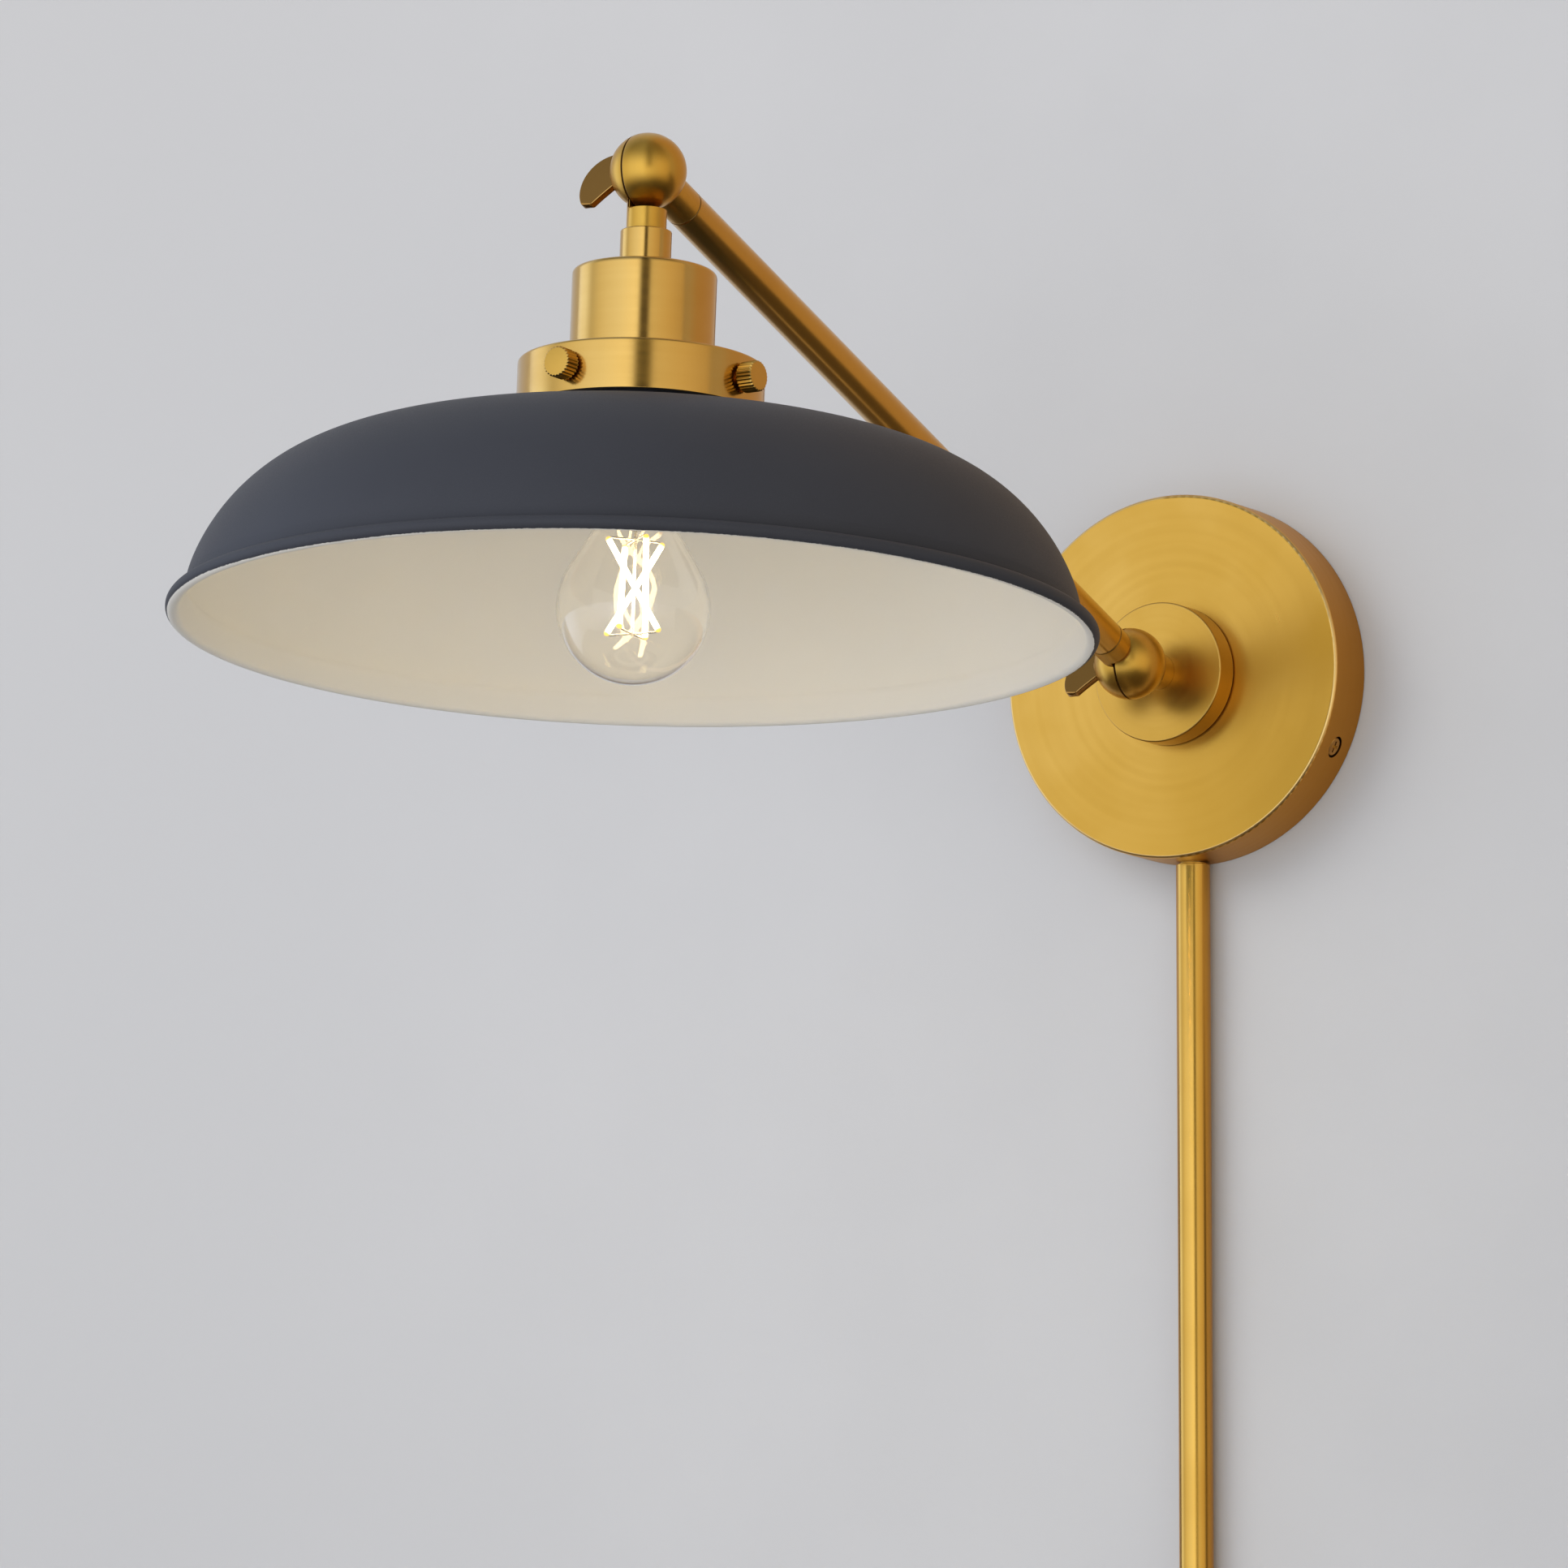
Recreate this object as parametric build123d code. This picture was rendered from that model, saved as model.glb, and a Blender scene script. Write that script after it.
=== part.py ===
"""Swing arm wall sconce: canopy, swivel hub, two knuckles with wing keys, arm, shade, bulb and cord cover.

Millimetres. The wall is the plane y = 0, the lamp stands out towards -Y, +Z is up, +X is to the right.
"""
import os
from math import acos, asin, atan2, cos, degrees, hypot, pi, radians, sin, sqrt

from build123d import *

# Canopy on the wall
canopy_dia = 152.4
canopy_depth = 26.0
canopy_side_wall = 3.0
canopy_front_wall = 2.0
canopy_edge_round = 1.4
side_screw_angle = -25.7
side_screw_height = 12.4
side_screw_head_dia = 7.8
side_screw_head_height = 1.6
side_screw_dia = 4.0
side_screw_length = 11.0
screw_clearance = 1.0

# Mounting strap behind the canopy
strap_width = 22.0
strap_thickness = 2.0
strap_end_gap = 2.2
tab_thickness = 2.5
tab_width = 16.0
box_hole_spacing = 88.9
box_hole_dia = 4.4
earth_screw_offset = 22.0

# Swivel hub
hub_dia = 58.4
hub_front = 38.6
hub_edge_round = 0.8
washer_thickness = 0.5
nut_across_flats = 14.0
nut_height = 4.4
spring_washer_dia = 20.0
spring_washer_height = 1.0

# Threaded hollow nipples and the flex that runs through them
nipple_dia = 9.8
nipple_tail = 1.5
nipple_reach = 8.4
head_nipple_reach = 6.5
cord_nipple_tail = 11.0
cord_nipple_reach = 12.0
flex_dia = 6.0
flex_reach = 4.0

# Tubes and stems
tube_dia = 15.4
tube_wall = 1.2
spigot_length = 14.0
seam_chamfer = 0.6

# Knuckles
ball_dia = 29.6
lower_seam = 0.0
upper_seam = -3.8
seam_gap = 0.6
key_flat = 13.3
key_dia = 5.0
channel_inner_dia = 7.4
channel_outer_dia = 18.0
channel_depth = 5.0
wireway_dia = 5.2
stem_clearance = 0.8
bore_floor = 18.0
bore_slack = 0.5

# Wing keys, measured from the ball centre
wing_reach = 28.2
wing_drop = 13.8
wing_rise = 8.4
wing_tip = 3.9
wing_thickness = 3.2
wing_edge = 0.4
key_boss_step = 0.5
wing_heel = 5.5
key_boss_dia = 6.6
lower_key_angle = 25.0
upper_key_angle = 21.0

# Arm and head pose in the photograph
lower_ball_out = 63.46
arm_length = 424.9
arm_pitch = 18.71
head_tilt = 3.7
lower_stem_end = 24.3
upper_stem_end = 28.8

# Head, distances from the upper ball centre along the head axis
collar_dia = 19.8
collar_top = 23.9
collar_chamfer = 0.6
cup_dia = 55.6
cup_top = 40.1
cup_wall = 1.5
cup_edge_round = 2.0
gallery_dia = 94.8
gallery_top = 76.8
gallery_bottom = 96.5
gallery_wall = 2.0
gallery_edge_round = 1.2
ring_nut_width = 4.5

# Thumb screws
thumb_count = 4
thumb_first_angle = -6.0
thumb_height = 86.8
thumb_head_dia = 12.0
thumb_head_length = 6.8
thumb_flutes = 26
thumb_flute_depth = 0.45
thumb_chamfer = 0.7
thumb_neck_length = 1.0
thumb_screw_dia = 4.0

# Shade
shade_rim_dia = 355.6
shade_rim_step = 7.2
shade_crown = 108.2
shade_shoulder = 169.9
shade_radial_power = 5.1
shade_axial_power = 1.4
shade_wall = 1.0
shade_bead_dia = 5.5
shade_bead_centre = 178.1
shade_lip_height = 5.7
shade_neck_round = 5.0
fitter_dia = 82.6
fitter_top = 82.6
fitter_lip = 1.8

# Lampholder and bulb
holder_dia = 38.0
holder_top = 58.0
holder_mouth = 121.5
holder_edge_round = 1.5
holder_flange_width = 4.0
holder_flange_height = 3.2
holder_floor_drop = 5.0
shell_dia = 28.6
shell_wall = 0.5
tongue_dia = 6.0
bulb_dia = 59.0
bulb_centre = 171.6
bulb_base_dia = 26.3
bulb_contact = 95.2
bulb_contact_dia = 9.4
bulb_contact_height = 0.8
bulb_thread_pitch = 3.6
bulb_thread_depth = 0.55
bulb_cap_wall = 1.2
bulb_base_bottom = 122.0
bulb_glass_wall = 0.8
bulb_neck_overlap = 2.0
mount_dia = 6.4
mount_flare = 10.0
mount_gap = 1.0
filament_count = 4
filament_dia = 2.2
filament_length = 42.0
filament_lean = 30.0
filament_ring_dia = 9.0
filament_rise = 8.2
filament_first_angle = 63.0
wire_dia = 0.7
post_dia = 1.2

# Cord cover
cover_dia = 14.2
cover_length = 355.6
cover_gap = 0.6
cord_hole_dia = 6.4
cord_nut_across_flats = 12.4
bushing_lip = 3.0
bushing_depth = 9.0

# Fits
fit = 0.05
tiny = 0.1

ball = ball_dia / 2
filament_centre = bulb_centre - filament_rise
mount_top = filament_centre - filament_length / 2 - mount_gap
shade_body_dia = shade_rim_dia - 2 * shade_rim_step
holder_floor = bulb_contact - holder_floor_drop
nipple_bore = flex_dia + 2 * fit
tube_r = tube_dia / 2
canopy_r = canopy_dia / 2
cover_out = cover_dia / 2 + fit
cover_bore = cover_dia - 2 * tube_wall
cover_top = canopy_r + cover_gap
cover_end = cover_top + cover_length

# Frames: z runs away from the wall, along the arm, and down the head
pitch = radians(arm_pitch)
tilt = radians(head_tilt)
arm_way = Vector(0, -cos(pitch), sin(pitch))
head_way = Vector(0, -sin(tilt), -cos(tilt))
lower_centre = Vector(0, -lower_ball_out, 0)
upper_centre = lower_centre + arm_way * arm_length
right = (1, 0, 0)
wall_frame = Plane((0, 0, 0), x_dir=right, z_dir=(0, -1, 0))
neck_frame = Plane(lower_centre, x_dir=right, z_dir=(0, 1, 0))
arm_frame = Plane(lower_centre, x_dir=right, z_dir=arm_way)
back_frame = Plane(upper_centre, x_dir=right, z_dir=arm_way * -1)
head_frame = Plane(upper_centre, x_dir=right, z_dir=head_way)
cover_frame = Plane((0, -cover_out, 0), x_dir=right, z_dir=(0, 0, -1))


def rod(dia, start, end):
    """Cylinder on the local z axis between two heights."""
    return Pos(0, 0, start) * Cylinder(dia / 2, end - start, align=(Align.CENTER, Align.CENTER, Align.MIN))


def pipe(dia, bore, start, end):
    """Tube on the local z axis between two heights."""
    return rod(dia, start, end) - rod(bore, start - 1, end + 1)


def cross_rod(dia, start, end):
    """Cylinder on the local x axis between two places."""
    return Rot(0, 90, 0) * rod(dia, start, end)


def hex_nut(across, bore, start, end):
    """Hexagon nut on the local z axis with chamfered corners."""
    corner = across / sqrt(3)
    body = Pos(0, 0, start) * extrude(RegularPolygon(corner, 6, rotation=30), end - start)
    cone = rod(2 * corner, start, end)
    cone = chamfer(cone.edges().filter_by(GeomType.CIRCLE), (corner - across / 2) * 0.9)
    return (body & cone) - rod(bore, start - 1, end + 1)


def turned(points):
    """Solid of revolution about the local z axis from (radius, height) corners."""
    return revolve(Plane.XZ * make_face(Polyline(*points, close=True)), Axis.Z)


def rounded_rod(dia, start, end, top=0.0, bottom=0.0):
    """Cylinder with rounded rims: top at the start height, bottom at the end height."""
    body = rod(dia, start, end)
    rims = body.edges().filter_by(GeomType.CIRCLE).sort_by(Axis.Z)
    if top:
        body = fillet(rims[0], top)
    if bottom:
        body = fillet(body.edges().filter_by(GeomType.CIRCLE).sort_by(Axis.Z)[-1], bottom)
    return body


def cross_head(dia, thick):
    """Screw head below z = 0 with a cross recess open at z = 0."""
    head = rod(dia, -thick, 0)
    head = chamfer(head.edges().filter_by(GeomType.CIRCLE).sort_by(Axis.Z)[-1], thick / 6)
    slot = Box(dia * 0.62, dia * 0.15, thick * 0.7, align=(Align.CENTER, Align.CENTER, Align.MAX))
    return head - slot - Rot(0, 0, 90) * slot


def canopy_cover():
    """Open-backed round cover with holes for the swivel, the cord nipple and the side screws."""
    body = rounded_rod(canopy_dia, 0, canopy_depth, bottom=canopy_edge_round)
    body -= rod(canopy_dia - 2 * canopy_side_wall, -1, canopy_depth - canopy_front_wall)
    body -= rod(nipple_dia + 2 * fit, 0, canopy_depth + 1)
    cord = Rot(90, 0, 0) * rod(nipple_dia + 4 * fit, 0, canopy_dia)
    body -= Pos(0, 0, cover_out) * cord
    for turn in (0, 180):
        way = Pos(0, 0, side_screw_height) * Rot(0, 0, side_screw_angle + turn)
        seat = canopy_r - side_screw_head_height - 5 * tiny
        body -= way * cross_rod(side_screw_dia + screw_clearance, canopy_r / 2, canopy_dia)
        body -= way * cross_rod(side_screw_head_dia + 1.5 * screw_clearance, seat, canopy_dia)
    return body


def side_screws():
    """Two cross-head screws that hold the canopy to the strap's tabs."""
    head = cross_head(side_screw_head_dia, side_screw_head_height)
    screw = head + rod(side_screw_dia, -side_screw_length, tiny - side_screw_head_height)
    screw = Rot(0, 90, 0) * screw
    out = Pos(canopy_r - 4 * tiny, 0, 0) * screw
    return [Pos(0, 0, side_screw_height) * Rot(0, 0, side_screw_angle + turn) * out for turn in (0, 180)]


def mounting_strap():
    """Flat strap on the wall with a bent tapped tab at each end and holes for the wall box."""
    reach = canopy_r - canopy_side_wall - strap_end_gap
    plate = Box(2 * reach, strap_width, strap_thickness, align=(Align.CENTER, Align.CENTER, Align.MIN))
    tall = side_screw_height + tab_width * 0.375
    for side in (-1, 1):
        tab = Box(tab_thickness, tab_width, tall, align=(Align.CENTER, Align.CENTER, Align.MIN))
        plate += Pos(side * (reach - tab_thickness / 2), 0, 0) * tab
        plate -= Pos(side * box_hole_spacing / 2, 0, 0) * rod(box_hole_dia, -1, strap_thickness + 1)
    plate -= rod(nipple_dia, -1, strap_thickness + 1)
    plate -= Pos(earth_screw_offset, 0, 0) * rod(side_screw_dia + fit, -1, strap_thickness + 1)
    plate -= Pos(0, 0, side_screw_height) * cross_rod(side_screw_dia + fit, -canopy_r, canopy_r)
    return Rot(0, 0, side_screw_angle) * plate


def earth_screw():
    """Earth terminal screw on the strap."""
    head_height = side_screw_dia * 0.6
    head = Pos(0, 0, strap_thickness + head_height) * cross_head(2 * side_screw_dia, head_height)
    screw = head + rod(side_screw_dia, 2 * tiny, strap_thickness + 2 * tiny)
    return Rot(0, 0, side_screw_angle) * Pos(earth_screw_offset, 0, 0) * screw


def swivel_hub():
    """Round boss between the canopy and the lower knuckle."""
    back = canopy_depth + washer_thickness + tiny
    disc = rounded_rod(hub_dia, back, hub_front, top=hub_edge_round, bottom=hub_edge_round)
    return disc - rod(nipple_dia + fit, 0, hub_front + 1)


def half_ball(side, seam):
    """Half of a ball turned about the x axis, with the key's bore and a ring channel for the wires."""
    face = seam + side * seam_gap / 2
    key_r = key_dia / 2 + fit
    inner = channel_inner_dia / 2
    outer = channel_outer_dia / 2
    floor = face + side * channel_depth
    rim = (face, sqrt(ball**2 - face**2))
    front = Polyline((face, key_r), (face, inner), (floor, inner), (floor, outer), (face, outer), rim)
    if side > 0:
        bore_end = ball * 0.6
        middle = (face + ball) / 2
        arc = ThreePointArc(rim, (middle, sqrt(ball**2 - middle**2)), (ball, 0))
        back = Polyline((ball, 0), (bore_end, 0), (bore_end, key_r), (face, key_r))
    else:
        middle = (face - key_flat) / 2
        flat_edge = (-key_flat, sqrt(ball**2 - key_flat**2))
        arc = ThreePointArc(rim, (middle, sqrt(ball**2 - middle**2)), flat_edge)
        back = Polyline(flat_edge, (-key_flat, key_r), (face, key_r))
    return revolve(make_face(front + arc + back), Axis.X)


def knuckle_half(side, seam, stem_end, floor, spigot):
    """Half of a ball split across its pivot at the seam, with a stem along +z.

    side is +1 for the half that holds the key's thread and -1 for the half under the key's head.
    floor is where the stem's bore ends, measured from the ball's centre.
    """
    face = seam + side * seam_gap / 2
    foot = channel_outer_dia / 2 + seam_gap
    top = stem_end
    stem = rod(tube_dia, foot, stem_end)
    if spigot:
        top += spigot_length
        stem = chamfer(stem.edges().filter_by(GeomType.CIRCLE).sort_by(Axis.Z)[-1], seam_chamfer)
        stem += rod(tube_dia - 2 * tube_wall - 2 * fit, stem_end - 1, top)
    swing = Box(2 * ball_dia, 2 * ball_dia, 2 * (ball + stem_clearance))
    body = half_ball(side, seam) + (stem - Pos(face - side * ball_dia, 0, 0) * swing)
    body -= rod(nipple_bore if spigot else nipple_dia + fit, floor, top + 1)
    wire_in = Vector(0, 0, floor + bore_slack)
    wire_out = Vector(face + side * channel_depth / 2, 0, (channel_inner_dia + channel_outer_dia) / 4)
    slant = Plane(wire_out, z_dir=wire_in - wire_out)
    return body - slant * rod(wireway_dia, 0, (wire_in - wire_out).length)


def friction_ring(seam):
    """Thin ring in the seam of a knuckle."""
    face = seam + seam_gap / 2
    ring = cross_rod(ball_dia - 4 * seam_gap, face - seam_gap + tiny, face)
    return ring - cross_rod(channel_outer_dia + 4 * tiny, face - 1, face + 1)


def wing_key():
    """Clamp screw with a one-sided lever; local x leaves the ball, local y is the lever's drop."""
    root = key_flat + tiny
    span = wing_reach - root
    tip_x = root + span * 0.835
    shoulder = (wing_reach, wing_drop * 0.42)
    toe = (tip_x - wing_tip, wing_drop * 0.97)
    crown = ThreePointArc((root, -wing_rise), (root + span * 0.707, -wing_rise * 0.52), shoulder)
    nose = ThreePointArc(shoulder, (root + span * 0.955, wing_drop * 0.75), (tip_x, wing_drop))
    end = Line((tip_x, wing_drop), toe)
    belly = ThreePointArc(toe, (root + span * 0.256, wing_drop * 0.64), (root, wing_heel))
    base = Line((root, wing_heel), (root, -wing_rise))
    outline = make_face(crown + nose + end + belly + base)
    plate = extrude(outline, wing_thickness / 2, both=True)
    flats = plate.faces().sort_by(Axis.Z)
    plate = chamfer(flats[0].edges() + flats[-1].edges(), wing_edge)
    boss = cross_rod(key_boss_dia, root, root + 4 * key_boss_step)
    boss = fillet(boss.edges().filter_by(GeomType.CIRCLE).sort_by(Axis.X)[-1], 1.5 * wing_edge)
    return plate + boss + cross_rod(key_dia, -ball * 0.5, key_flat + key_boss_step)


def key_frame(centre, angle):
    """Frame of a wing key: x out of the ball towards -X, y along the lever's drop."""
    lean = radians(angle)
    return Plane(centre, x_dir=(-1, 0, 0), z_dir=(0, -cos(lean), sin(lean)))


def arm_tube():
    """Arm tube between the two knuckle stems, with a small chamfer at each seam."""
    start = lower_stem_end
    end = arm_length - upper_stem_end
    tube = rod(tube_dia, start, end)
    tube = chamfer(tube.edges().filter_by(GeomType.CIRCLE), seam_chamfer)
    return tube - rod(tube_dia - 2 * tube_wall, start - 1, end + 1)


def socket_cup():
    """Closed-top cup over the lampholder."""
    cup = rounded_rod(cup_dia, cup_top, gallery_top, top=cup_edge_round)
    cup -= rod(cup_dia - 2 * cup_wall, cup_top + cup_wall, gallery_top + 1)
    return cup - rod(nipple_dia + 4 * fit, cup_top - 1, gallery_top)


def stem_collar():
    """Coupling between the head stem and the cup."""
    collar = rod(collar_dia, collar_top, cup_top)
    collar = chamfer(collar.edges().filter_by(GeomType.CIRCLE), collar_chamfer)
    return collar - rod(nipple_dia + fit, collar_top - 1, cup_top + 1)


def thumb_frame(index):
    """Frame of a thumb screw: z runs radially out of the gallery."""
    angle = radians(thumb_first_angle + index * 360 / thumb_count)
    way = (sin(angle), cos(angle), 0)
    return head_frame * Plane((0, 0, thumb_height), x_dir=(0, 0, 1), z_dir=way).location


def shade_gallery():
    """Shallow holder with tapped holes for the thumb screws."""
    body = rounded_rod(gallery_dia, gallery_top, gallery_bottom, top=gallery_edge_round)
    body -= rod(gallery_dia - 2 * gallery_wall, gallery_top + gallery_wall, gallery_bottom + 1)
    body -= rod(holder_dia + 2 * fit, gallery_top - 1, gallery_bottom)
    for index in range(thumb_count):
        angle = thumb_first_angle + index * 360 / thumb_count
        hole = cross_rod(thumb_screw_dia + 2 * fit, fitter_dia / 2, gallery_dia)
        body -= Pos(0, 0, thumb_height) * Rot(0, 0, 90 - angle) * hole
    return body


def thumb_screw():
    """Knurled screw on its own axis; z = 0 is the head axis and z grows outwards."""
    seat = gallery_dia / 2 + thumb_neck_length
    outer = thumb_head_dia / 2
    step = 2 * pi / (2 * thumb_flutes)
    corners = []
    for i in range(2 * thumb_flutes):
        reach = outer if i % 2 else outer - thumb_flute_depth
        corners.append((reach * cos(i * step), reach * sin(i * step)))
    head = Pos(0, 0, seat) * extrude(make_face(Polyline(*corners, close=True)), thumb_head_length)
    trim = rod(thumb_head_dia + 2 * tiny, seat, seat + thumb_head_length)
    trim = chamfer(trim.edges().filter_by(GeomType.CIRCLE), thumb_chamfer)
    neck = rod(thumb_head_dia * 0.6, gallery_dia / 2 + tiny, seat + thumb_neck_length / 2)
    return (head & trim) + neck + rod(thumb_screw_dia, fitter_dia / 2 + tiny, seat + thumb_neck_length)


def dome_edge(radius, rise, start_radius):
    """Points of the shade's curve from a start radius out to the shoulder, on a super-ellipse."""
    steps = 12
    first = acos((start_radius / radius) ** (shade_radial_power / 2))
    spots = []
    for i in range(steps + 1):
        turn = first * (1 - i / steps)
        up = rise * sin(turn) ** (2 / shade_axial_power)
        spots.append((radius * cos(turn) ** (2 / shade_radial_power), shade_shoulder - up))
    return spots


def shade():
    """Spun dome with a straight fitter neck, a stepped rim, a rolled bead and a sloped inner lip."""
    outer_r = shade_body_dia / 2
    inner_r = outer_r - shade_wall
    rise = shade_shoulder - shade_crown
    neck_r = fitter_dia / 2
    start = neck_r + shade_neck_round
    outer = dome_edge(outer_r, rise, start)
    inner = dome_edge(inner_r, rise - shade_wall, start)
    step_top = shade_bead_centre - shade_bead_dia / 2
    step_bottom = step_top + shade_wall
    neck_end = outer[0][1] - shade_neck_round
    bow_out = shade_neck_round * sqrt(0.5)
    bow_in = (shade_neck_round + shade_wall) * sqrt(0.5)
    curve_out = Spline(*outer, tangents=((1, 0), (0, 1)), tangent_scalars=(0.3, 1))
    curve_in = Spline(*inner, tangents=((1, 0), (0, 1)), tangent_scalars=(0.3, 1))
    sides = Polyline(outer[-1], (outer_r, step_bottom), (inner_r, step_bottom), inner[-1])
    flare_in = ThreePointArc(inner[0], (start - bow_in, neck_end + bow_in), (neck_r - shade_wall, neck_end))
    throat = Polyline((neck_r - shade_wall, neck_end), (neck_r - shade_wall, fitter_top),
                      (neck_r, fitter_top), (neck_r, neck_end))
    flare_out = ThreePointArc((neck_r, neck_end), (start - bow_out, neck_end + bow_out), outer[0])
    dome = revolve(Plane.XZ * make_face(curve_out + sides + curve_in + flare_in + throat + flare_out), Axis.Z)
    bead_r = shade_rim_dia / 2 - shade_bead_dia / 2
    lip_top = shade_bead_centre - shade_lip_height
    across, down = bead_r - inner_r, shade_lip_height
    slope = atan2(down, across) + asin(shade_bead_dia / 2 / hypot(across, down))
    touch = 0.49 * shade_bead_dia
    meet = (bead_r - touch * sin(slope), shade_bead_centre + touch * cos(slope))
    middle = (bead_r, shade_bead_centre)
    rim = Pos(0, 0, shade_bead_centre) * Torus(bead_r, shade_bead_dia / 2)
    foot = (outer_r + 3 * tiny, step_top + 2 * tiny)
    rim += turned([(inner_r + 0.4 * shade_wall, lip_top), meet, middle, foot])
    rim += pipe(2 * bead_r, 2 * inner_r, step_top, step_bottom)
    dome += rim
    lip_dia = fitter_dia + 2 * fitter_lip
    return dome + pipe(lip_dia, fitter_dia - 2 * shade_wall, fitter_top, fitter_top + shade_wall)


def lampholder_body():
    """Insulating lampholder with a shoulder that rests on the gallery."""
    body = rounded_rod(holder_dia, holder_top, holder_mouth, top=holder_edge_round, bottom=shell_wall)
    body += rod(holder_dia + 2 * holder_flange_width, gallery_top - holder_flange_height, gallery_top)
    body -= rod(shell_dia + 2 * fit, holder_floor, holder_mouth + 1)
    body -= rod(nipple_dia + fit, holder_top - 1, holder_top + head_nipple_reach + bore_slack)
    return body - rod(nipple_bore, holder_top, bulb_contact)


def screw_shell():
    """Thin metal shell that takes the bulb cap."""
    start = bulb_contact + 4 * shell_wall
    return pipe(shell_dia, shell_dia - 2 * shell_wall, start, holder_mouth - 3 * shell_wall)


def centre_contact():
    """Centre contact strip of the lampholder with a raised tongue."""
    disc = rod(shell_dia - 8 * shell_wall, holder_floor + fit, holder_floor + 2 * shell_wall)
    tongue = rod(tongue_dia, holder_floor + shell_wall, bulb_contact - fit)
    return disc + tongue - rod(tongue_dia * 0.4, holder_floor - 1, holder_floor + 4 * shell_wall)


def bulb_base():
    """Screw cap of the bulb with rounded thread ridges."""
    top = bulb_contact + bulb_thread_pitch
    crest = bulb_base_dia / 2
    root = crest - bulb_thread_depth
    spots = [(root, top)]
    turns = int((bulb_base_bottom - bulb_thread_pitch - top) / bulb_thread_pitch)
    for i in range(turns):
        for radius, share in ((root, 1 / 12), (crest, 1 / 3), (crest, 7 / 12), (root, 5 / 6)):
            spots.append((radius, top + (i + share) * bulb_thread_pitch))
    inside = crest - bulb_cap_wall
    return turned(spots + [(root, bulb_base_bottom), (inside, bulb_base_bottom), (inside, top)])


def bulb_insulator():
    """Dark glass cone at the end of the cap."""
    top = bulb_contact + bulb_contact_height
    bottom = bulb_contact + bulb_thread_pitch - tiny
    wide = bulb_base_dia / 2 - bulb_cap_wall + 2 * tiny
    return turned([(0, top), (bulb_contact_dia / 2 + tiny, top), (wide, bottom), (0, bottom)])


def bulb_neck_radius():
    """Outside radius of the glass where it enters the cap."""
    return bulb_base_dia / 2 - bulb_cap_wall - tiny


def bulb_outline(offset):
    """Closed half outline of the bulb glass, moved inwards by offset."""
    r = bulb_dia / 2 - offset
    neck = bulb_neck_radius() - offset
    join = radians(28)
    start = (neck, bulb_base_bottom - bulb_neck_overlap)
    low = (neck, bulb_base_bottom + 2 * bulb_neck_overlap)
    side = (r * cos(join), bulb_centre - r * sin(join))
    flank = Spline(low, side, tangents=((0, 1), (sin(join), cos(join))))
    bowl = ThreePointArc(side, (r * cos(0.6), bulb_centre + r * sin(0.6)), (0, bulb_centre + r))
    return Line(start, low) + flank + bowl + Polyline((0, bulb_centre + r), (0, start[1]), start)


def bulb_glass():
    """Thin clear bulb."""
    shell = revolve(Plane.XZ * make_face(bulb_outline(0)), Axis.Z)
    return shell - revolve(Plane.XZ * make_face(bulb_outline(bulb_glass_wall)), Axis.Z)


def bulb_mount():
    """Glass stem inside the bulb, flared at its foot."""
    foot = bulb_base_bottom - bulb_neck_overlap
    neck = bulb_neck_radius() - bulb_glass_wall - fit
    flare = [(0, foot), (neck, foot), (neck * 0.8, foot + mount_flare * 0.3)]
    rod_edge = [(mount_dia / 2, foot + mount_flare), (mount_dia * 0.4, mount_top), (0, mount_top)]
    return turned(flare + rod_edge)


def filament_turn(index):
    """Angle of one filament stick around the bulb axis."""
    return filament_first_angle + index * 360 / filament_count


def filaments():
    """Leaning glowing sticks around the mount."""
    stick = rod(filament_dia, -filament_length / 2, filament_length / 2)
    sticks = []
    for index in range(filament_count):
        frame = Rot(0, 0, filament_turn(index)) * Pos(filament_ring_dia / 2, 0, filament_centre)
        sticks.append(frame * Rot(filament_lean, 0, 0) * stick)
    return sticks


def lead_wires():
    """Post on the bulb axis with a spoke to each end of every stick."""
    lean = radians(filament_lean)
    half = filament_length / 2
    drop = half * cos(lean)
    stand = (filament_dia + wire_dia * sin(lean)) / 2 / cos(lean) + fit
    reach = hypot(filament_ring_dia / 2, half * sin(lean)) - stand
    swing = degrees(atan2(half * sin(lean), filament_ring_dia / 2))
    wires = rod(post_dia, mount_top, filament_centre + drop + wire_dia)
    for index in range(filament_count):
        for end in (-1, 1):
            spoke = Pos(0, 0, filament_centre + end * drop) * cross_rod(wire_dia, post_dia / 3, reach)
            wires += Rot(0, 0, filament_turn(index) - end * swing) * spoke
    return wires


def canopy_flex():
    """Flex from the swivel nipple, round a bend in the canopy and down the cord cover."""
    bend = 1.5 * flex_dia
    start = (0, -hub_front - nipple_reach / 2, 0)
    elbow = (0, -cover_out - bend, 0)
    middle = (0, -cover_out - bend * (1 - cos(pi / 4)), -bend * (1 - sin(pi / 4)))
    down = (0, -cover_out, -bend)
    end = (0, -cover_out, spigot_length - cover_end)
    route = Line(start, elbow) + ThreePointArc(elbow, middle, down) + Line(down, end)
    return sweep(Plane(start, z_dir=(0, 1, 0)) * Circle(flex_dia / 2), path=route)


nodes = {}


def place(name, frame, shape):
    """Keep one or more solids under a node name, moved into the shared frame."""
    solids = shape if isinstance(shape, list) else [shape]
    placed = [frame * one for one in solids]
    nodes[name] = placed[0] if len(placed) == 1 else Compound(children=placed)


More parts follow.
